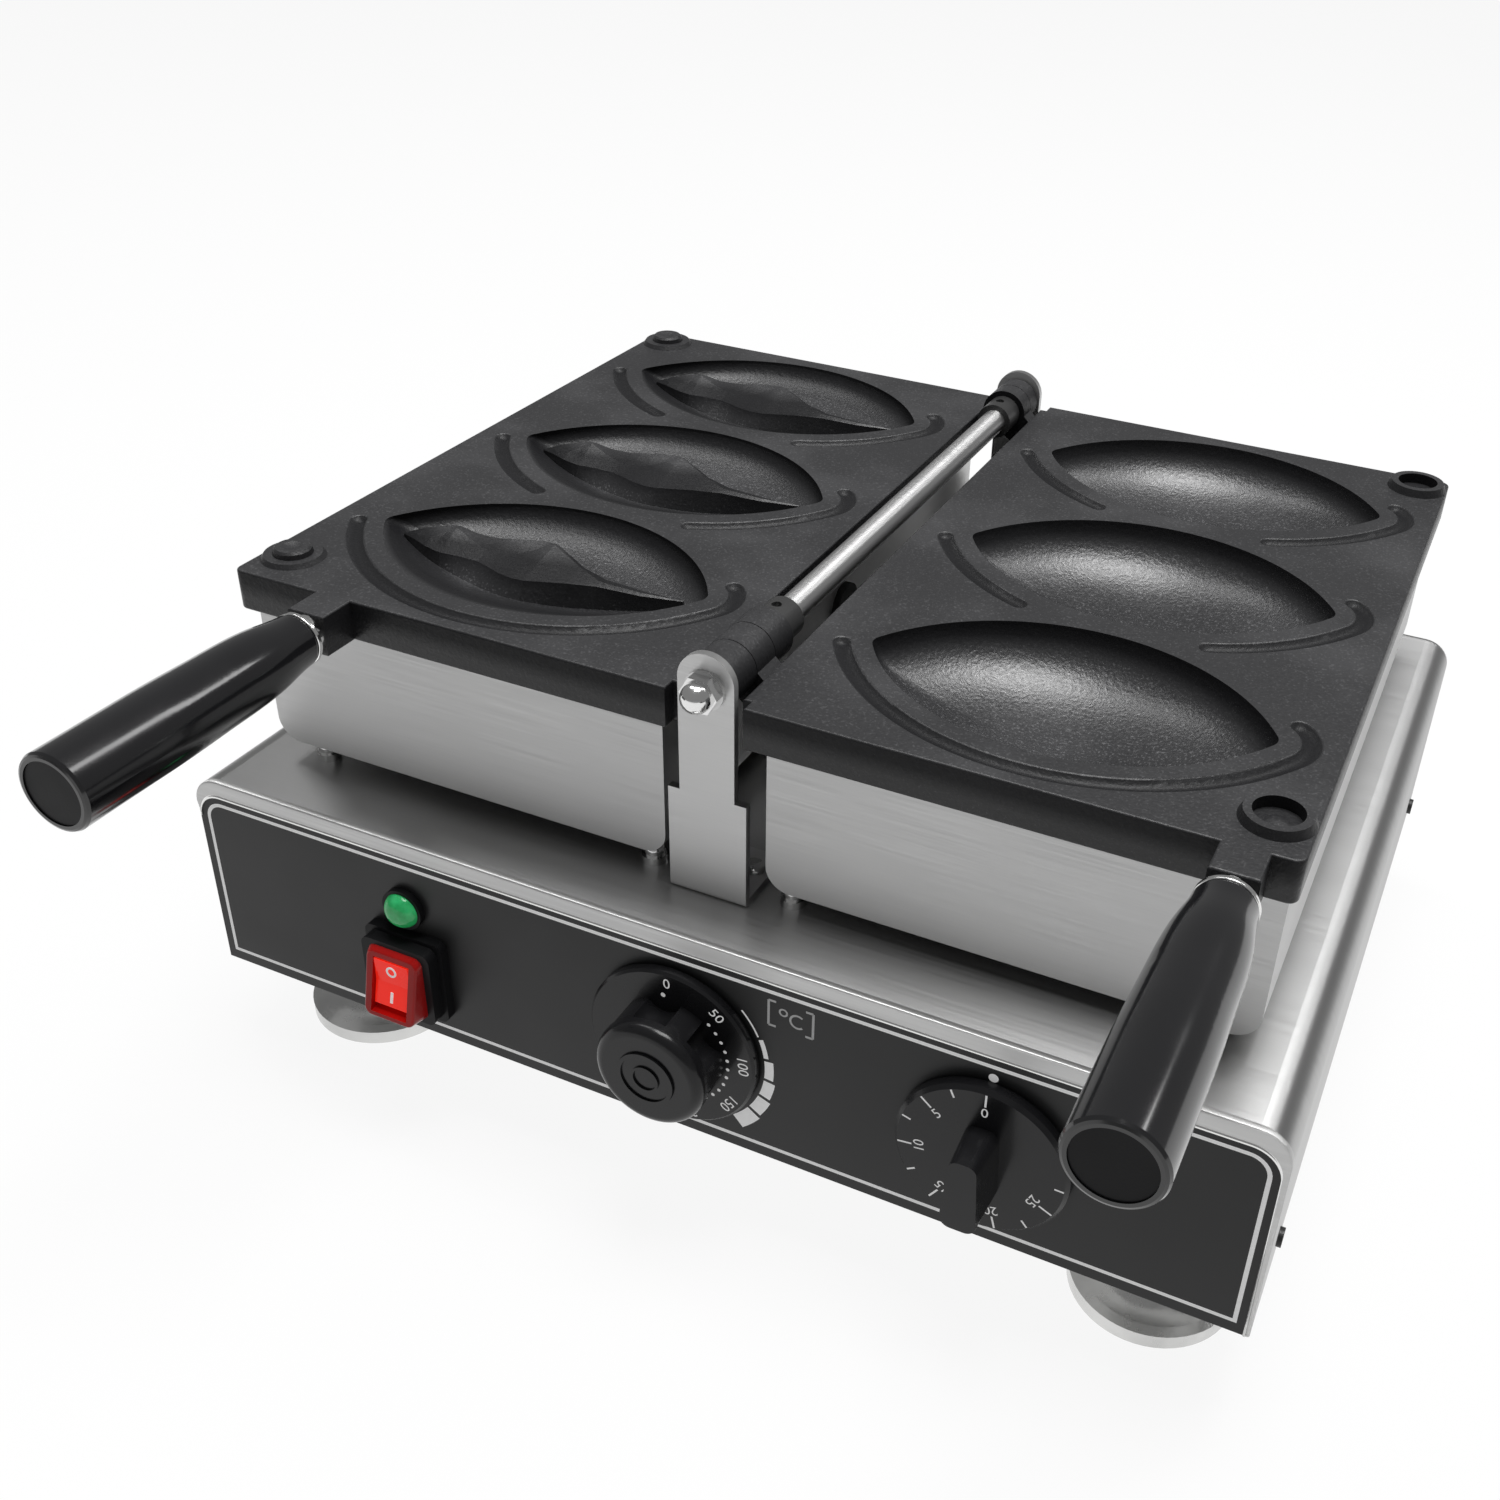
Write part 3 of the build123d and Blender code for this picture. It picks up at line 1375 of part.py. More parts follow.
rocker_tilt = 8.0
rocker_width = well_width - 0.8
rocker_half = well_height / 2 - 1.3
rocker_front = 6.8
with BuildPart() as rocker:
    with BuildSketch(Plane.YZ.offset(-rocker_width / 2)):
        with BuildLine():
            Polyline(
                (-rocker_front, rocker_half),
                (-rocker_front + 1.0, 0),
                (-rocker_front, -rocker_half),
                (-rocker_front + 3.2, -rocker_half + 0.1),
                (2.6, -3.4),
                (2.6, 3.4),
                (-rocker_front + 3.2, rocker_half - 0.1),
                close=True,
            )
        make_face()
    extrude(amount=rocker_width)
    with BuildSketch(Plane.YZ.offset(-well_width / 2 - pivot_reach)):
        Circle(pivot_radius)
    extrude(amount=well_width + 2 * pivot_reach)
    rocker_shape = rocker.part
    placed = Location((switch_x, pivot_y, switch_z), (-rocker_tilt, 0, 0))
    add(placed * rocker_shape, mode=Mode.REPLACE)
save(rocker, "rocker")

# Indicator lamp: a clip-in housing and a green lens.
lamp_bezel_radius = 7.4
lamp_lens_radius = 6.2
with BuildPart() as lamp_housing:
    with BuildSketch(at_y(front_y)):
        with Locations((lamp_x, lamp_z)):
            Circle(lamp_bezel_radius)
    extrude(amount=2.4)
    with BuildSketch(at_y(front_y)):
        with Locations((lamp_x, lamp_z)):
            Circle(lamp_hole_radius - 0.1)
    extrude(amount=-22)
    with BuildSketch(at_y(front_y - 2.4)):
        with Locations((lamp_x, lamp_z)):
            Circle(lamp_lens_radius + 0.05)
    extrude(amount=-1.4, mode=Mode.SUBTRACT)
save(lamp_housing, "lamp_housing")

with BuildPart() as lamp_lens:
    with BuildSketch(at_y(front_y - 1.0)):
        with Locations((lamp_x, lamp_z)):
            Circle(lamp_lens_radius)
    extrude(amount=5.2)
    dome = lamp_lens.edges().filter_by(GeomType.CIRCLE).sort_by(Axis.Y)[0]
    fillet(dome, 4.6)
save(lamp_lens, "lamp_lens")

# Inside the body: the terminal block. On the back: the gland that a cord would enter by.
block_y = back_y - 52
with BuildPart() as terminal_block:
    with BuildSketch(at_z(body_bottom + sheet)):
        with Locations((70, block_y)):
            Rectangle(48, 20)
    extrude(amount=16)
    with BuildSketch(at_z(body_bottom + sheet + 16)):
        with Locations((70, block_y)):
            with GridLocations(11, 10, 4, 2):
                Circle(2.4)
    extrude(amount=-7, mode=Mode.SUBTRACT)
save(terminal_block, "terminal_block")

gland_radius = gland_bore / 2
with BuildPart() as cable_gland:
    with BuildSketch(at_y(back_y)):
        with Locations((gland_x, gland_z)):
            RegularPolygon(10.5, 6, major_radius=False)
    extrude(amount=-5)
    with BuildSketch(at_y(back_y + 5)):
        with Locations((gland_x, gland_z)):
            Circle(9.0)
    extrude(amount=-(gland_reach - 5))
    lip = cable_gland.edges().filter_by(GeomType.CIRCLE).sort_by(Axis.Y)[-1]
    fillet(lip, 3.0)
    with BuildSketch(at_y(back_y)):
        with Locations((gland_x, gland_z)):
            Circle(gland_hole_radius - 0.1)
    extrude(amount=sheet + 9)
    with BuildSketch(at_y(back_y + gland_reach + 1)):
        with Locations((gland_x, gland_z)):
            Circle(gland_radius)
    extrude(amount=gland_reach + 14, mode=Mode.SUBTRACT)
save(cable_gland, "cable_gland")

with BuildPart() as gland_nut:
    with BuildSketch(at_y(back_panel_y)):
        with Locations((gland_x, gland_z)):
            RegularPolygon(11.0, 6, major_radius=False)
            Circle(gland_hole_radius - running_clearance, mode=Mode.SUBTRACT)
    extrude(amount=4.5)
save(gland_nut, "gland_nut")

# Rubber bushes in the top of the body, between the two boxes, for the heater leads.
with BuildPart() as lead_bushes:
    for y in lead_bush_ys:
        with Locations((0, y, body_top)):
            Cylinder(lead_bush_radius + 2.2, 2.4, align=(Align.CENTER, Align.CENTER, Align.MIN))
            Cylinder(lead_bush_radius - 0.1, sheet, align=(Align.CENTER, Align.CENTER, Align.MAX))
        with Locations((0, y, body_top - sheet)):
            Cylinder(lead_bush_radius + 2.2, 2.4, align=(Align.CENTER, Align.CENTER, Align.MAX))
        with Locations((0, y, body_top)):
            Hole(side_bush_bore)
save(lead_bushes, "lead_bushes")
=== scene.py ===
"""Looks of the open waffle maker: finishes, printed marks, floor, light and camera.

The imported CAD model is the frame. Everything is in metres here, and the sizes below are
written in millimetres and turned into metres by mm().
"""

import math

import bmesh
import bpy
from mathutils import Matrix, Vector


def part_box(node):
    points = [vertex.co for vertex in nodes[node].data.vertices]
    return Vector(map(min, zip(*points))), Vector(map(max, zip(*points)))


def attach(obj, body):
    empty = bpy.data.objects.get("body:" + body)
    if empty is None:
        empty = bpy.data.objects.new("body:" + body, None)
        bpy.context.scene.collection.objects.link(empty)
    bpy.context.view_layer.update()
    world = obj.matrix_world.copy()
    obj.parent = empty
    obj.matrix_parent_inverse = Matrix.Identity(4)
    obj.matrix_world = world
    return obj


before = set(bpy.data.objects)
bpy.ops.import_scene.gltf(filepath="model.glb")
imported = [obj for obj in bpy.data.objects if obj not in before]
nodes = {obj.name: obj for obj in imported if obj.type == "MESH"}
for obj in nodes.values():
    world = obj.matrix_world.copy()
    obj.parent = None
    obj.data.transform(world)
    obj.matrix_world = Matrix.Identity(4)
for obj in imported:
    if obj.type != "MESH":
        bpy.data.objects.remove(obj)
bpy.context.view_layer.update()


def mm(value):
    """Millimetres to metres."""
    return value / 1000


def middle(box):
    """The middle of a box, given as its two corners."""
    low, high = box
    return (low + high) / 2


def new_object(name, data):
    """An object in the scene that holds a mesh, a curve, a lamp or a camera."""
    made = bpy.data.objects.new(name, data)
    bpy.context.scene.collection.objects.link(made)
    return made


# Places that the marks and finishes share with the solids: the fascia's face and lower edge,
# the dials' middles and faces, and the plates' flat tops
front_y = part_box("fascia")[0].y
dial_z = middle(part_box("thermostat_dial")).z
timer_x = middle(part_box("timer_dial")).x
thermostat_face_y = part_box("thermostat_dial")[0].y
timer_face_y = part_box("timer_dial")[0].y
fascia_low = mm(35.8)
plate_top = mm(182.7)

# How far a printed mark stands off its ground
print_gap = mm(0.04)


# Materials

# The part of a noise texture's range that a finish uses
noise_low, noise_high = 0.3, 0.7


def shaded(color, factor):
    """A colour made darker or lighter."""
    return tuple(factor * part for part in color)


class Finish:
    """A node material being written: a Principled shader and the nodes that feed it.

    The plain colour and roughness show where no texture moves them.
    """

    def __init__(self, name, color, roughness, metallic=0.0, **sockets):
        self.material = bpy.data.materials.new(name)
        self.material.use_nodes = True
        self.tree = self.material.node_tree
        self.shader = self.tree.nodes["Principled BSDF"]
        self.shader.inputs["Base Color"].default_value = (*color, 1)
        self.shader.inputs["Roughness"].default_value = roughness
        self.shader.inputs["Metallic"].default_value = metallic
        for socket, value in sockets.items():
            self.shader.inputs[socket.replace("_", " ")].default_value = value
        coordinates = self.tree.nodes.new("ShaderNodeTexCoord")
        self.place = coordinates.outputs["Object"]
        self.normal = coordinates.outputs["Normal"]

    def link(self, source, target):
        self.tree.links.new(source, target)

    def noise(self, scale, detail, stretch=(1, 1, 1), distortion=0.0):
        """Noise in the object's own metres, stretched along an axis by a small factor there."""
        mapping = self.tree.nodes.new("ShaderNodeMapping")
        mapping.inputs["Scale"].default_value = stretch
        self.link(self.place, mapping.inputs["Vector"])
        texture = self.tree.nodes.new("ShaderNodeTexNoise")
        texture.inputs["Scale"].default_value = scale
        texture.inputs["Detail"].default_value = detail
        texture.inputs["Distortion"].default_value = distortion
        self.link(mapping.outputs["Vector"], texture.inputs["Vector"])
        return texture.outputs["Fac"]

    def ramp(self, value, stops):
        """A colour ramp over a value, from (place, colour) stops."""
        node = self.tree.nodes.new("ShaderNodeValToRGB")
        elements = node.color_ramp.elements
        while len(elements) < len(stops):
            elements.new(0.5)
        for element, (place, color) in zip(elements, stops):
            element.position = place
            element.color = (*color, 1)
        self.link(value, node.inputs["Fac"])
        return node.outputs["Color"]

    def parts(self, vector):
        """The outputs X, Y and Z of a vector."""
        node = self.tree.nodes.new("ShaderNodeSeparateXYZ")
        self.link(vector, node.inputs["Vector"])
        return node.outputs

    def spread(self, value, low, high, start=noise_low, end=noise_high):
        """Map a value from the range of start to end, or a noise, onto that of low to high."""
        node = self.tree.nodes.new("ShaderNodeMapRange")
        node.inputs["From Min"].default_value = start
        node.inputs["From Max"].default_value = end
        node.inputs["To Min"].default_value = low
        node.inputs["To Max"].default_value = high
        self.link(value, node.inputs["Value"])
        return node.outputs["Result"]

    def math(self, operation, first, second):
        """One arithmetic step on two values, each a socket or a number."""
        node = self.tree.nodes.new("ShaderNodeMath")
        node.operation = operation
        for socket, value in zip(node.inputs, (first, second)):
            if hasattr(value, "links"):
                self.link(value, socket)
            else:
                socket.default_value = value
        return node.outputs["Value"]

    def tint(self, value, dark, light):
        """Let a noise move the base colour between two colours."""
        color = self.ramp(value, ((noise_low, dark), (noise_high, light)))
        self.link(color, self.shader.inputs["Base Color"])

    def rough(self, value, low, high):
        """Let a noise move the roughness between two values."""
        self.link(self.spread(value, low, high), self.shader.inputs["Roughness"])

    def bump(self, value, height):
        """Raise the surface by a value, in metres at its full size, over any earlier bump."""
        node = self.tree.nodes.new("ShaderNodeBump")
        node.inputs["Strength"].default_value = 1.0
        node.inputs["Distance"].default_value = height
        self.link(value, node.inputs["Height"])
        previous = self.shader.inputs["Normal"].links
        if previous:
            self.link(previous[0].from_socket, node.inputs["Normal"])
        self.link(node.outputs["Normal"], self.shader.inputs["Normal"])


def brushed(name, across, base=0.62, roughness=0.46):
    """Stainless sheet whose brushed lines lie across one axis, which the light spreads along.

    Faces that look along that axis spread the light along X.
    """
    finish = Finish(name, (base, base, base * 0.99), roughness, metallic=1.0, Anisotropic=0.8)
    facing = finish.math("ABSOLUTE", finish.parts(finish.normal)[across], 0)
    end_face = finish.math("GREATER_THAN", facing, 0.7)
    tangent = finish.tree.nodes.new("ShaderNodeCombineXYZ")
    finish.link(finish.math("SUBTRACT", 1.0, end_face), tangent.inputs[across])
    finish.link(end_face, tangent.inputs["X"])
    turned = finish.tree.nodes.new("ShaderNodeVectorTransform")
    turned.vector_type = "VECTOR"
    turned.convert_from = "OBJECT"
    turned.convert_to = "WORLD"
    finish.link(tangent.outputs["Vector"], turned.inputs["Vector"])
    finish.link(turned.outputs["Vector"], finish.shader.inputs["Tangent"])
    streaks = finish.noise(1900, 2.0, [1.0 if axis == across else 0.012 for axis in "XYZ"])
    smears = finish.noise(9, 3.0)
    finish.tint(smears, (base * 0.95,) * 3, (base * 1.03, base * 1.03, base * 1.02))
    finish.rough(streaks, roughness - 0.03, roughness + 0.05)
    finish.bump(streaks, mm(0.003))
    return finish.material


def polished(name, tone=0.8, roughness=0.14):
    """Bright turned or plated metal with faint wear."""
    finish = Finish(name, (tone, tone, tone * 0.99), roughness, metallic=1.0)
    wear = finish.noise(240, 4.0)
    finish.rough(wear, roughness * 0.7, roughness * 1.5)
    finish.tint(finish.noise(60, 2.0), (tone * 0.92,) * 3, (tone, tone, tone * 0.985))
    finish.bump(wear, mm(0.01))
    return finish.material


def plastic(name, color, roughness, grain, coat=0.0, specular=0.5):
    """Moulded plastic or paint with a fine skin texture, as high as the grain in millimetres."""
    finish = Finish(
        name,
        color,
        roughness,
        Specular_IOR_Level=specular,
        Coat_Weight=coat,
        Coat_Roughness=0.08,
    )
    skin = finish.noise(1500, 2.0)
    finish.rough(finish.noise(55, 3.0), roughness * 0.85, roughness * 1.2)
    finish.tint(finish.noise(30, 2.0), shaded(color, 0.85), shaded(color, 1.12))
    finish.bump(skin, mm(grain))
    return finish.material


def coated_casting():
    """Dark non-stick coat: pebbled and speckled, with painted shade in the channels, high on the
    moulds' sides and on steep faces, smoother in the moulds.
    """
    finish = Finish("coated_casting", (0.028, 0.028, 0.03), 0.5, Specular_IOR_Level=0.45)
    pebbles = finish.noise(820, 3.0, distortion=0.3)
    blotches = finish.noise(26, 4.0)
    specks = finish.noise(1300, 2.0)
    height = finish.parts(finish.place)["Z"]
    # Painted shade: the coat's colour is darkened in the shallow channels, high on the moulds'
    # sides and on steep faces, and its specular is lowered there
    sunk = finish.spread(height, 0, 1, plate_top - mm(0.3), plate_top - mm(1.8))
    in_mould = finish.spread(height, 0, 1, plate_top - mm(4), plate_top - mm(9))
    steep = finish.spread(finish.parts(finish.normal)["Z"], 1, 0, 0.15, 0.8)
    painted_shade = finish.math("MAXIMUM", finish.math("SUBTRACT", sunk, in_mould), steep)

    flecks = finish.spread(specks, 0, 1, 0.56, 0.72)
    flecks = finish.math("MULTIPLY", flecks, finish.spread(in_mould, 0.4, 1, 0, 1))
    shade = finish.math("ADD", finish.spread(blotches, -0.15, 0.2), flecks)
    # The painted shade darkens the coat's colour here
    shade = finish.math("SUBTRACT", shade, finish.math("MULTIPLY", painted_shade, 0.9))
    stops = (
        (0.0, (0.01, 0.01, 0.011)),
        (0.47, (0.022, 0.022, 0.0235)),
        (1.0, (0.11, 0.11, 0.114)),
    )
    coat = finish.ramp(finish.spread(shade, 0, 1, -0.9, 1.0), stops)
    finish.link(coat, finish.shader.inputs["Base Color"])

    by_depth = finish.spread(height, 0.33, 0.45, plate_top - mm(9), plate_top - mm(2))
    roughness = finish.math("ADD", by_depth, finish.spread(pebbles, -0.06, 0.07))
    finish.link(roughness, finish.shader.inputs["Roughness"])
    gloss = finish.spread(painted_shade, 0.42, 0.18, 0, 1)
    gloss = finish.math("ADD", gloss, finish.spread(in_mould, 0, 0.25, 0, 1))
    finish.link(gloss, finish.shader.inputs["Specular IOR Level"])
    finish.bump(pebbles, mm(0.15))
    finish.bump(finish.noise(120, 2.0), mm(0.12))
    return finish.material


def fascia_paint():
    """Satin black print film with a faint sheen."""
    finish = Finish("fascia_paint", (0.014, 0.014, 0.0145), 0.38, Specular_IOR_Level=0.3)
    finish.rough(finish.noise(30, 3.0), 0.34, 0.42)
    finish.tint(finish.noise(12, 2.0), (0.012, 0.012, 0.0125), (0.017, 0.017, 0.0175))
    finish.bump(finish.noise(2600, 2.0), mm(0.006))
    return finish.material


def cast_grey():
    """Satin grey metal of the feet."""
    finish = Finish("cast_grey", (0.6, 0.6, 0.59), 0.22, metallic=1.0)
    finish.rough(finish.noise(180, 4.0), 0.16, 0.3)
    finish.tint(finish.noise(40, 3.0), (0.5, 0.5, 0.495), (0.66, 0.66, 0.65))
    finish.bump(finish.noise(420, 3.0), mm(0.03))
    return finish.material


def ink(name, color, glow):
    """Screen-printed ink, slightly uneven, with a painted glow that makes it brighter than the
    lamps light it.
    """
    finish = Finish(name, color, 0.5, Emission_Color=(*color, 1), Emission_Strength=glow)
    finish.tint(finish.noise(700, 2.0), shaded(color, 0.86), color)
    finish.bump(finish.noise(2200, 1.0), mm(0.008))
    return finish.material


def black_rubber():
    """Dull black rubber of the foot rings and bushes."""
    finish = Finish("rubber", (0.022, 0.022, 0.022), 0.72)
    finish.rough(finish.noise(90, 3.0), 0.64, 0.8)
    finish.tint(finish.noise(45, 2.0), (0.018,) * 3, (0.03,) * 3)
    finish.bump(finish.noise(900, 2.0), mm(0.03))
    return finish.material


def felt():
    """Pale mineral felt of the insulation."""
    finish = Finish("mineral_felt", (0.7, 0.66, 0.58), 0.95, Sheen_Weight=0.3)
    fibres = finish.noise(700, 5.0, (1, 0.3, 1), 1.5)
    finish.tint(fibres, (0.5, 0.46, 0.38), (0.78, 0.74, 0.66))
    finish.bump(fibres, mm(0.4))
    return finish.material


def ceramic():
    """Glazed ceramic of the heaters' ends and the terminal block."""
    finish = Finish("ceramic", (0.82, 0.8, 0.74), 0.35, Coat_Weight=0.3)
    finish.tint(finish.noise(140, 3.0), (0.74, 0.71, 0.64), (0.86, 0.84, 0.79))
    finish.bump(finish.noise(900, 2.0), mm(0.02))
    return finish.material


def heater_skin():
    """Heat-stained sheath of the heating tubes."""
    finish = Finish("heater_skin", (0.22, 0.2, 0.18), 0.5, metallic=0.9)
    finish.tint(finish.noise(70, 4.0), (0.12, 0.105, 0.1), (0.3, 0.27, 0.24))
    finish.bump(finish.noise(800, 3.0), mm(0.03))
    return finish.material


def red_cap(name, color, glow):
    """Glossy red plastic with a painted glow, as if a lamp behind it lit it a little."""
    finish = Finish(
        name,
        color,
        0.22,
        Specular_IOR_Level=0.2,
        Coat_Weight=0.1,
        Coat_Roughness=0.06,
        Emission_Color=(*color, 1),
        Emission_Strength=glow,
    )
    finish.tint(finish.noise(60, 2.0), shaded(color, 0.8), color)
    finish.rough(finish.noise(90, 2.0), 0.17, 0.28)
    finish.bump(finish.noise(300, 2.0), mm(0.02))
    return finish.material


def lens_green():
    """Cloudy green lens of the lamp, a little lit from behind."""
    finish = Finish(
        "lens_green",
        (0.02, 0.42, 0.13),
        0.14,
        Specular_IOR_Level=0.3,
        Coat_Weight=0.15,
        Coat_Roughness=0.05,
        Emission_Color=(0.03, 0.5, 0.12, 1),
        Emission_Strength=0.18,
        Subsurface_Weight=0.15,
        Subsurface_Scale=mm(3),
    )
    finish.tint(finish.noise(220, 3.0), (0.012, 0.26, 0.08), (0.05, 0.55, 0.2))
    finish.bump(finish.noise(700, 2.0), mm(0.04))
    return finish.material


steel_level = brushed("brushed_steel_level", "Z")
# Painted shade: the cover is the same stainless as the panels, given a darker base colour to hold
# down the lamps' highlight on it
steel_cover_painted_darker = brushed("brushed_steel_cover", "Y", base=0.5, roughness=0.38)
steel_post = brushed("brushed_steel_post", "Z", base=0.61, roughness=0.42)
bright = polished("bright_metal")
rod_steel = brushed("ground_rod_steel", "Y", base=0.7, roughness=0.36)
plated = polished("plated_steel", tone=0.58, roughness=0.26)
casting = coated_casting()
fascia = fascia_paint()
feet_metal = cast_grey()
gloss_black = plastic("gloss_black", (0.008, 0.008, 0.009), 0.16, 0.004, coat=0.35)
knob_black = plastic("knob_black", (0.01, 0.01, 0.011), 0.24, 0.01, coat=0.1, specular=0.25)
matte_black = plastic("matte_black", (0.01, 0.01, 0.011), 0.4, 0.02, specular=0.12)
dark_steel = plastic("blackened_steel", (0.03, 0.03, 0.03), 0.4, 0.02)
rubber = black_rubber()
# The switch's frame and rocker carry a painted glow
red_frame = red_cap("red_frame", (0.4, 0.005, 0.004), 0.04)
red_rocker = red_cap("red_rocker", (0.9, 0.02, 0.008), 0.5)
# The inks carry a painted glow
white_ink = ink("white_ink", (0.84, 0.84, 0.84), 0.28)
faded_ink = ink("faded_ink", (0.5, 0.5, 0.5), 0.12)

finishes = {
    steel_level: ["front_panel", "back_panel", "left_heater_box", "right_heater_box"],
    steel_cover_painted_darker: ["base_cover", "bottom_pan"],
    steel_post: ["front_post", "rear_post"],
    bright: ["rod_nuts", "left_ferrule", "right_ferrule", "rest_studs"],
    rod_steel: ["hinge_rod"],
    plated: [
        "rod_washers",
        "post_rivets",
        "foot_bolts",
        "left_box_screws",
        "right_box_screws",
        "gland_nut",
        "left_handle_stud",
        "right_handle_stud",
        "thermostat_shaft",
        "timer_shaft",
        "left_heater_clamps",
        "right_heater_clamps",
        "thermostat_bulb",
    ],
    casting: ["left_mould_plate", "right_mould_plate"],
    fascia: ["fascia"],
    feet_metal: ["feet"],
    gloss_black: ["left_grip", "right_grip"],
    knob_black: [
        "thermostat_grip",
        "thermostat_cap",
        "timer_pointer",
        "timer_dial",
        "thermostat_dial",
    ],
    matte_black: [
        "left_grip_cap",
        "right_grip_cap",
        "switch_body",
        "lamp_housing",
        "cable_gland",
        "thermostat_body",
        "timer_body",
    ],
    dark_steel: ["rod_collars", "side_screws"],
    rubber: ["foot_pads", "lead_bushes", "left_box_bush", "right_box_bush"],
    red_frame: ["switch_frame"],
    red_rocker: ["rocker"],
    lens_green(): ["lamp_lens"],
    ceramic(): ["left_heater_terminals", "right_heater_terminals", "terminal_block"],
    felt(): ["left_insulation", "right_insulation"],
    heater_skin(): ["left_heater", "right_heater"],
}
for finish, names in finishes.items():
    for name in names:
        nodes[name].data.materials.clear()
        nodes[name].data.materials.append(finish)


# Printed marks: flat shapes just proud of the panel and the dials


def printed(name, outlines, y, body, finish):
    """Flat shapes in one mesh, from outlines of (x, z) in metres, facing the front."""
    mesh = bpy.data.meshes.new(name)
    shape = bmesh.new()
    for outline in outlines:
        corners = [shape.verts.new((x, y, z)) for x, z in outline]
        face = shape.faces.new(corners)
        face.normal_update()
        if face.normal.y > 0:
            face.normal_flip()
    bmesh.ops.triangulate(shape, faces=shape.faces[:])
    shape.to_mesh(mesh)
    shape.free()
    piece = new_object(name, mesh)
    mesh.materials.append(finish)
    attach(piece, body)


def polar(center, radius, angle):
    """The point at a distance from a center, in degrees that grow anticlockwise from the right."""
    return (
        center[0] + radius * math.cos(math.radians(angle)),
        center[1] + radius * math.sin(math.radians(angle)),
    )


def dot(center, radius, steps=16):
    """A round spot, or the outline of one."""
    return [polar(center, radius, 360 * i / steps) for i in range(steps)]


def sector(center, inner, outer, start, end, steps=12):
    """Part of a ring, between two angles."""
    angles = [start + (end - start) * i / steps for i in range(steps + 1)]
    rim = [polar(center, outer, angle) for angle in angles]
    bore = [polar(center, inner, angle) for angle in reversed(angles)]
    return rim + bore


def bar(start, end, width):
    """A straight stroke between two points."""
    along = Vector((end[0] - start[0], end[1] - start[1])).normalized()
    side = Vector((-along.y, along.x)) * width / 2
    return [
        (start[0] + side.x, start[1] + side.y),
        (end[0] + side.x, end[1] + side.y),
        (end[0] - side.x, end[1] - side.y),
        (start[0] - side.x, start[1] - side.y),
    ]


def edge_line(left, right, height, radius):
    """A line around both upper corners of the front and down its right side.

    The corners turn about the points (left, height) and (right, height), in millimetres.
    """
    turns = [180 - 9 * i for i in range(11)]
    points = [polar((mm(left), mm(height)), mm(radius), turn) for turn in turns]
    points += [polar((mm(right), mm(height)), mm(radius), turn - 90) for turn in turns]
    return points + [(mm(right + radius), fascia_low)]


def folded_edge(name, stations, finish):
    """The steel edge that shows over the fascia's top and right side, with a rounded lip.

    Each station holds three points (x, z): on the lip, on the fascia's outline and on the
    cover's outline, where the sheet turns back over the cover.
    """
    # Across the lip from its inner side, and out from the fascia's face, in millimetres
    lip_section = ((0, -0.2), (0, 0.25), (0.2, 0.55), (0.6, 0.7), (1.0, 0.55), (1.25, 0.3))
    lip_width = mm(1.6)
    # Share of the way from the fascia's outline to the cover's, and back from the front
    wrap_section = ((0, -0.3), (0.75, -0.15), (1, 0.3), (1, 1.8))
    # The strips of the section that are round and bright, and the first round one behind them
    bright_strips, first_wrap_strip = range(1, 5), 6
    mesh = bpy.data.meshes.new(name)
    shape = bmesh.new()
    rows = []
    for lip, edge, rim in stations:
        lip, edge, rim = Vector(lip), Vector(edge), Vector(rim)
        reach = (edge - lip).length
        scale = min(1, reach / lip_width)
        row = []
        for way, proud in lip_section:
            x, z = lip + (edge - lip) * (mm(way) * scale / reach)
            row.append(shape.verts.new((x, front_y - mm(proud), z)))
        for share, back in wrap_section:
            x, z = edge.lerp(rim, share)
            row.append(shape.verts.new((x, front_y + mm(back), z)))
        rows.append(row)
    for before, after in zip(rows, rows[1:]):
        for i in range(len(before) - 1):
            face = shape.faces.new((before[i], after[i], after[i + 1], before[i + 1]))
            face.smooth = i in bright_strips or i >= first_wrap_strip
            face.material_index = 1 if i in bright_strips else 0
    for row in (rows[0], rows[-1]):
        shape.faces.new(row)
    bmesh.ops.recalc_face_normals(shape, faces=shape.faces[:])
    shape.to_mesh(mesh)
    shape.free()
    piece = new_object(name, mesh)
    mesh.materials.append(finish)
    mesh.materials.append(bright)
    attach(piece, "base")


def numeral(name, words, center, size, turn, y, body, finish):
    """A number on a dial, as a flat mesh that faces the front."""
    curve = bpy.data.curves.new(name, "FONT")
    curve.body = words
    curve.size = size
    curve.align_x = "CENTER"
    curve.align_y = "CENTER"
    letters = new_object(name + "_letters", curve)
    bpy.context.view_layer.update()
    written = letters.evaluated_get(bpy.context.evaluated_depsgraph_get())
    flat = bpy.data.meshes.new_from_object(written)
    bpy.data.objects.remove(letters)
    upright = Matrix.Rotation(math.radians(90), 4, "X")
    place = Matrix.Translation((center[0], y, center[1])) @ upright
    flat.transform(place @ Matrix.Rotation(math.radians(turn), 4, "Z"))
    flat.name = name
    flat.materials.clear()
    flat.materials.append(finish)
    piece = new_object(name, flat)
    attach(piece, body)


def rounded_frame(left, right, bottom, top, radius, width):
    """A closed line with rounded upper corners, as quads between two outlines."""

    def outline(inset):
        corner = max(radius - inset, 0)
        points = [(left + inset, bottom + inset)]
        for x, start in ((left + radius, 180), (right - radius, 90)):
            points += [polar((x, top - radius), corner, start - 90 * i / 8) for i in range(9)]
        return points + [(right - inset, bottom + inset)]

    outside, inside = outline(0), outline(width)
    quads = []
    for i, point in enumerate(outside):
        j = (i + 1) % len(outside)
        quads.append([point, outside[j], inside[j], inside[i]])
    return quads


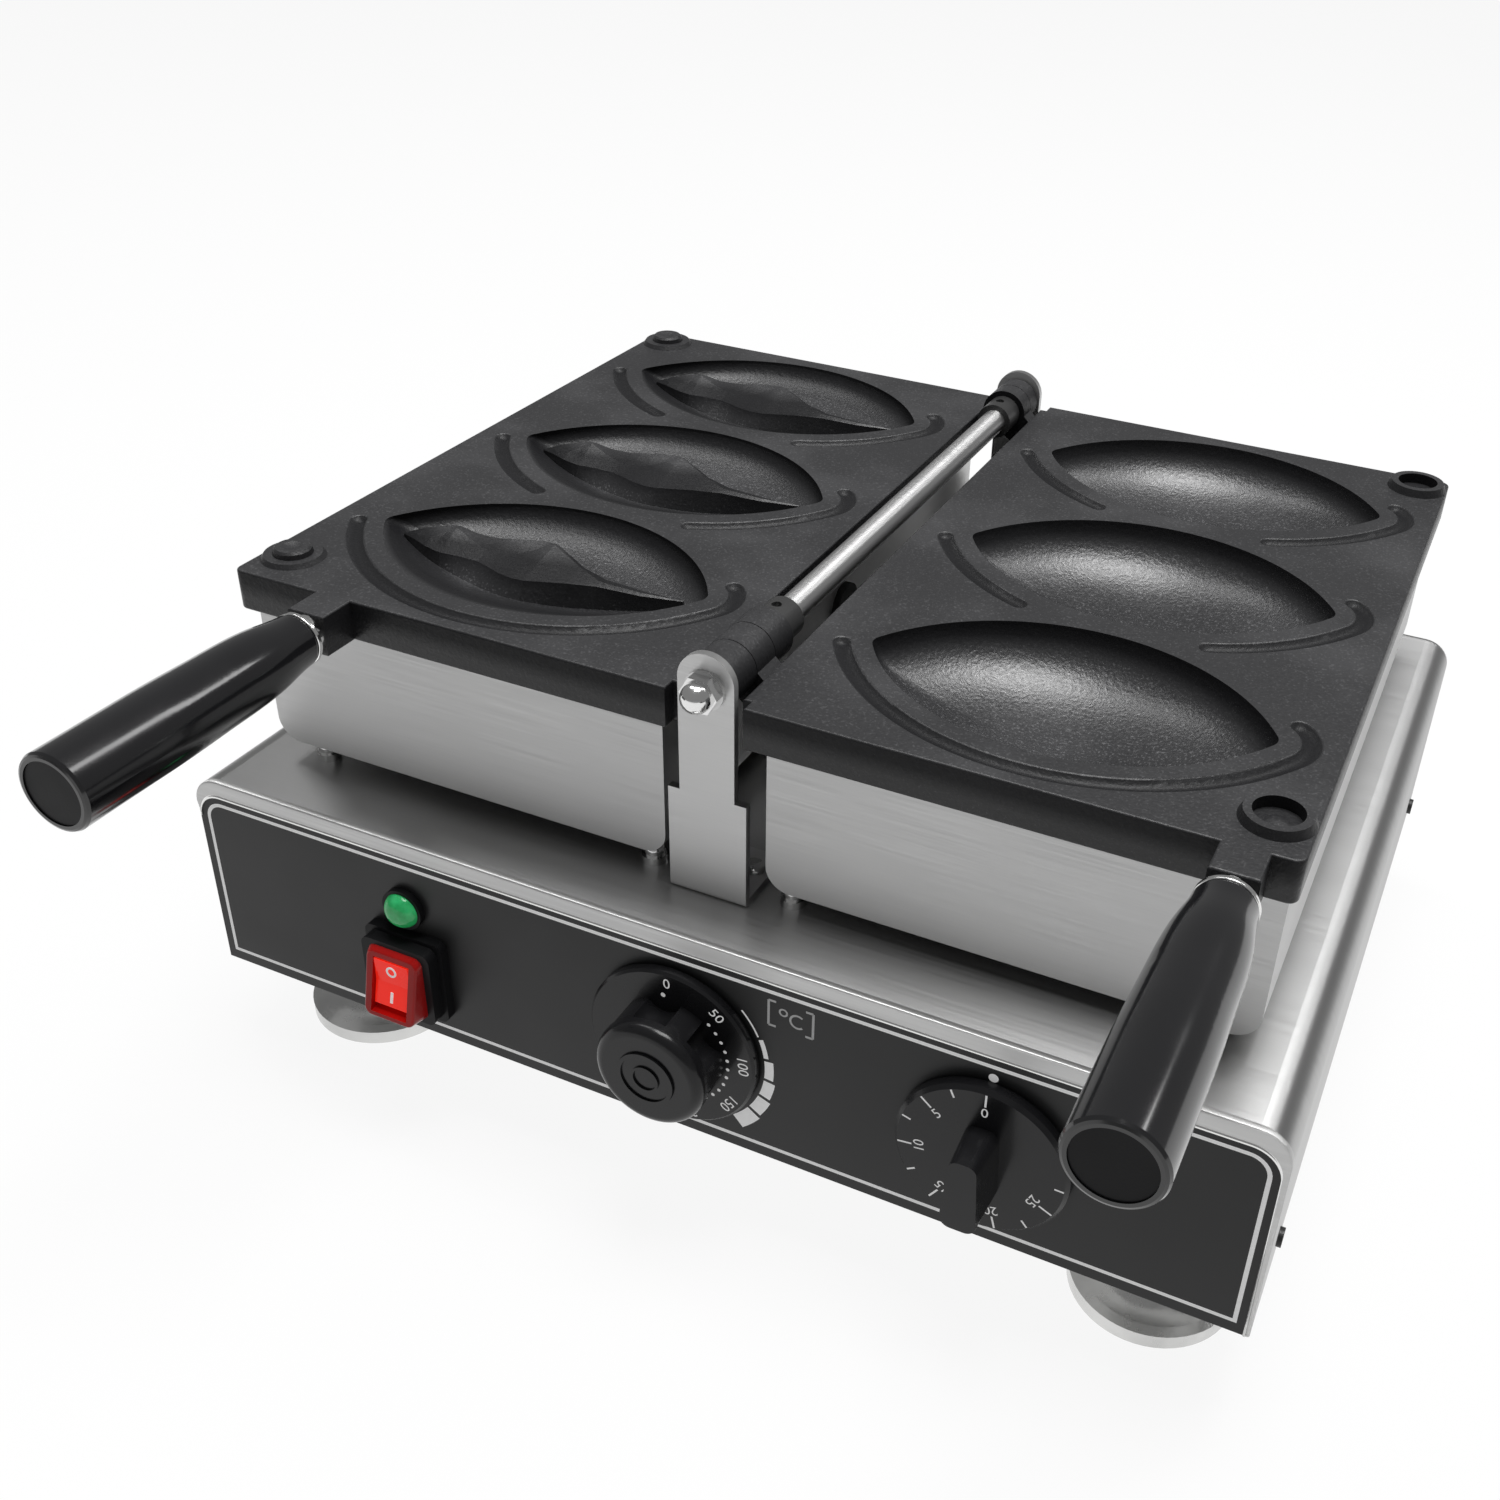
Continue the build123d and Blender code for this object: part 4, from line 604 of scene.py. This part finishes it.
panel_y = front_y - print_gap
thermostat = (0.0, dial_z)
timer = (timer_x, dial_z)
printed(
    "panel_frame_line",
    rounded_frame(mm(-178.8), mm(178.1), mm(39.4), mm(103.4), mm(7), mm(1.3)),
    panel_y,
    "base",
    white_ink,
)
lip_line = edge_line(-171.8, 171.1, 96.4, 9.2)
outer_line = edge_line(-172.2, 172.2, 101.9, 9.5)
rim_line = edge_line(-172.3, 172.3, 102, 10.06)
folded_edge("folded_edge", list(zip(lip_line, outer_line, rim_line)), steel_level)

# Inner radius in millimetres, and each block's start and end in degrees and its width
scale_radius = 30
scale_blocks = (
    (43, 24, 0.6),
    (22, 9, 1.6),
    (7, -6, 3.0),
    (-8, -20, 3.8),
    (-22, -34, 4.5),
    (-36, -50, 5.2),
)
printed(
    "heat_scale",
    [
        sector(thermostat, mm(scale_radius), mm(scale_radius + width), start, end)
        for start, end, width in scale_blocks
    ],
    panel_y,
    "base",
    white_ink,
)

bracket_low, bracket_high, stroke = mm(90.2), mm(99.6), mm(0.8)
degree_shapes = []
for x, tip in ((mm(31.0), mm(33.4)), (mm(45.4), mm(43.0))):
    degree_shapes += [
        bar((x, bracket_low), (x, bracket_high), stroke),
        bar((x, bracket_high), (tip, bracket_high), stroke),
        bar((x, bracket_low), (tip, bracket_low), stroke),
    ]
degree_shapes += [
    sector((mm(35.8), mm(96.4)), mm(0.9), mm(1.5), 0, 359, 20),
    sector((mm(40.4), mm(94.6)), mm(2.0), mm(2.7), 50, 310, 20),
]
printed("degree_mark", degree_shapes, panel_y, "base", faded_ink)
printed("timer_index", [dot((timer_x, mm(98.8)), mm(1.5))], panel_y, "base", white_ink)

heat_print_y = thermostat_face_y - print_gap
heat_numbers = ((92, "0"), (50, "50"), (6, "100"), (-36, "150"), (-78, "200"), (-120, "250"))
for angle, words in heat_numbers:
    numeral(
        f"heat_number_{words}",
        words,
        polar(thermostat, mm(24.6), angle),
        mm(5.0),
        angle - 90,
        heat_print_y,
        "thermostat_knob",
        white_ink,
    )
zero_dot = dot(polar(thermostat, mm(20.2), 96), mm(0.8))
heat_dots = [dot(polar(thermostat, mm(19.6), 47.5 - 10 * i), mm(0.6)) for i in range(18)]
printed("heat_dots", [zero_dot] + heat_dots, heat_print_y, "thermostat_knob", white_ink)

timer_print_y = timer_face_y - print_gap
timer_step = 24.4
long_tick, short_tick, tick_rim = mm(20.8), mm(22.4), mm(25.2)
ticks = []
for i in range(12):
    angle = 90 + timer_step * i
    inner = long_tick if i % 2 == 0 else short_tick
    ticks.append(bar(polar(timer, inner, angle), polar(timer, tick_rim, angle), mm(0.6)))
printed("timer_ticks", ticks, timer_print_y, "timer_knob", white_ink)
for i, words in enumerate(("0", "5", "10", "15", "20", "25")):
    angle = 90 + 2 * timer_step * i
    numeral(
        f"timer_number_{words}",
        words,
        polar(timer, mm(18.4), angle),
        mm(4.6),
        angle - 90,
        timer_print_y,
        "timer_knob",
        white_ink,
    )


# Off and on signs, moulded on the two faces of the rocker

rocker_x = middle(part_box("rocker")).x
rocker_z = mm(61.6)
pivot_y = front_y - mm(5.0)
rest_tilt = math.radians(-8)
rocker_waist, rocker_swell, rocker_half_height = mm(5.8), mm(1.0), mm(8.4)
sign_proud, sign_root = mm(0.25), -mm(0.2)


def on_rocker(x, height, proud):
    """A point on the rocker's front at rest, from its height over the pivot."""
    depth = -rocker_waist - rocker_swell * abs(height) / rocker_half_height - proud
    y = pivot_y + depth * math.cos(rest_tilt) - height * math.sin(rest_tilt)
    z = rocker_z + depth * math.sin(rest_tilt) + height * math.cos(rest_tilt)
    return (rocker_x + x, y, z)


def rocker_sign(name, outside, inside):
    """A raised closed strip between two outlines of (x, height)."""
    mesh = bpy.data.meshes.new(name)
    shape = bmesh.new()
    top_out = [shape.verts.new(on_rocker(x, h, sign_proud)) for x, h in outside]
    top_in = [shape.verts.new(on_rocker(x, h, sign_proud)) for x, h in inside]
    low_out = [shape.verts.new(on_rocker(x, h, sign_root)) for x, h in outside]
    low_in = [shape.verts.new(on_rocker(x, h, sign_root)) for x, h in inside]
    count = len(outside)
    for i in range(count):
        j = (i + 1) % count
        shape.faces.new((top_out[i], top_out[j], top_in[j], top_in[i]))
        shape.faces.new((low_out[j], low_out[i], low_in[i], low_in[j]))
        shape.faces.new((low_out[i], low_out[j], top_out[j], top_out[i]))
        shape.faces.new((top_in[i], top_in[j], low_in[j], low_in[i]))
    bmesh.ops.recalc_face_normals(shape, faces=shape.faces[:])
    shape.to_mesh(mesh)
    shape.free()
    piece = new_object(name, mesh)
    mesh.materials.append(white_ink)
    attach(piece, "switch_rocker")


def upright_stroke(half_width, low, high):
    """The four corners of a bar that stands in the middle of the rocker, in millimetres."""
    corners = ((-half_width, low), (half_width, low), (half_width, high), (-half_width, high))
    return [(mm(x), mm(height)) for x, height in corners]


off_center = (0, mm(4.9))
rocker_sign("off_sign", dot(off_center, mm(2.0), 24), dot(off_center, mm(1.3), 24))
rocker_sign("on_sign", upright_stroke(0.5, -6.8, -3), upright_stroke(0.1, -6.4, -3.4))


# Floor, background and light


def white_floor():
    """A pale floor that keeps the object's shadow, and that bright metal mirrors as white.

    It is darker to the light that it throws back at the object than to the camera.
    """
    material = bpy.data.materials.new("pale_floor")
    material.use_nodes = True
    tree = material.node_tree
    tree.nodes.clear()
    output = tree.nodes.new("ShaderNodeOutputMaterial")
    path = tree.nodes.new("ShaderNodeLightPath")
    tone = tree.nodes.new("ShaderNodeMapRange")
    tone.inputs["To Min"].default_value = 0.35
    tone.inputs["To Max"].default_value = 0.86
    tree.links.new(path.outputs["Is Camera Ray"], tone.inputs["Value"])
    diffuse = tree.nodes.new("ShaderNodeBsdfDiffuse")
    tree.links.new(tone.outputs["Result"], diffuse.inputs["Color"])
    white = tree.nodes.new("ShaderNodeEmission")
    white.inputs["Color"].default_value = (1, 1, 1, 1)
    seen = tree.nodes.new("ShaderNodeMath")
    seen.operation = "MULTIPLY"
    seen.inputs[1].default_value = 0.9
    tree.links.new(path.outputs["Is Camera Ray"], seen.inputs[0])
    mirrored = tree.nodes.new("ShaderNodeMixShader")
    tree.links.new(path.outputs["Is Glossy Ray"], mirrored.inputs["Fac"])
    tree.links.new(diffuse.outputs["BSDF"], mirrored.inputs[1])
    tree.links.new(white.outputs["Emission"], mirrored.inputs[2])
    mix = tree.nodes.new("ShaderNodeMixShader")
    tree.links.new(seen.outputs["Value"], mix.inputs["Fac"])
    tree.links.new(mirrored.outputs["Shader"], mix.inputs[1])
    tree.links.new(white.outputs["Emission"], mix.inputs[2])
    tree.links.new(mix.outputs["Shader"], output.inputs["Surface"])
    return material


def floor_plane(reach):
    """A square floor that reaches this far from the middle, in metres."""
    mesh = bpy.data.meshes.new("floor")
    corners = [(-reach, -reach, 0), (reach, -reach, 0), (reach, reach, 0), (-reach, reach, 0)]
    mesh.from_pydata(corners, [], [(0, 1, 2, 3)])
    floor = new_object("floor", mesh)
    mesh.materials.append(white_floor())


def studio_world():
    """Soft even light, white where the camera sees it, also through clear things."""
    world = bpy.data.worlds.new("studio")
    bpy.context.scene.world = world
    world.use_nodes = True
    tree = world.node_tree
    background = tree.nodes["Background"]
    background.inputs["Color"].default_value = (1, 1, 1, 1)
    path = tree.nodes.new("ShaderNodeLightPath")
    strength = tree.nodes.new("ShaderNodeMapRange")
    strength.inputs["To Min"].default_value = 0.24
    strength.inputs["To Max"].default_value = 1.0
    seen = tree.nodes.new("ShaderNodeMath")
    seen.operation = "MAXIMUM"
    tree.links.new(path.outputs["Is Camera Ray"], seen.inputs[0])
    tree.links.new(path.outputs["Is Transmission Ray"], seen.inputs[1])
    tree.links.new(seen.outputs["Value"], strength.inputs["Value"])
    tree.links.new(strength.outputs["Result"], background.inputs["Strength"])


def softbox(name, place, width, height, power):
    """A rectangular area light that faces the machine, in metres and watts."""
    machine = Vector((0, 0.03, 0.15))
    data = bpy.data.lights.new(name, "AREA")
    data.shape = "RECTANGLE"
    data.size = width
    data.size_y = height
    data.energy = power
    lamp = new_object(name, data)
    lamp.location = place
    lamp.rotation_euler = (machine - Vector(place)).to_track_quat("-Z", "Y").to_euler()


floor_plane(6.0)
studio_world()
softbox("overhead", (0.16, 0.12, 2.05), 0.9, 1.0, 34)
softbox("strip", (0.75, 0.9, 1.9), 0.26, 1.6, 9.5)
softbox("left", (-0.95, 0.3, 1.9), 0.4, 0.9, 6)


# Camera, at the photograph's viewpoint


def photo_camera():
    """The viewpoint recovered from the photograph's parallel edges."""
    azimuth, elevation, roll = -0.412, 0.568, -0.040
    place = (mm(191.8), front_y - mm(324.9), mm(417.7))
    look = Vector(
        (
            math.sin(azimuth) * math.cos(elevation),
            math.cos(azimuth) * math.cos(elevation),
            -math.sin(elevation),
        )
    )
    level = Vector((math.cos(azimuth), -math.sin(azimuth), 0))
    down = look.cross(level)
    right = level * math.cos(roll) + down * math.sin(roll)
    up = level * math.sin(roll) - down * math.cos(roll)
    data = bpy.data.cameras.new("camera")
    data.sensor_fit = "HORIZONTAL"
    data.sensor_width = 36
    data.lens = 39.43
    data.shift_x = -0.0589
    data.shift_y = -0.0006
    data.clip_start = 0.02
    data.clip_end = 50
    camera = new_object("camera", data)
    turn = Matrix((right, up, -look)).transposed().to_4x4()
    camera.matrix_world = Matrix.Translation(place) @ turn
    bpy.context.scene.camera = camera


photo_camera()
bpy.context.scene.view_settings.view_transform = "Standard"
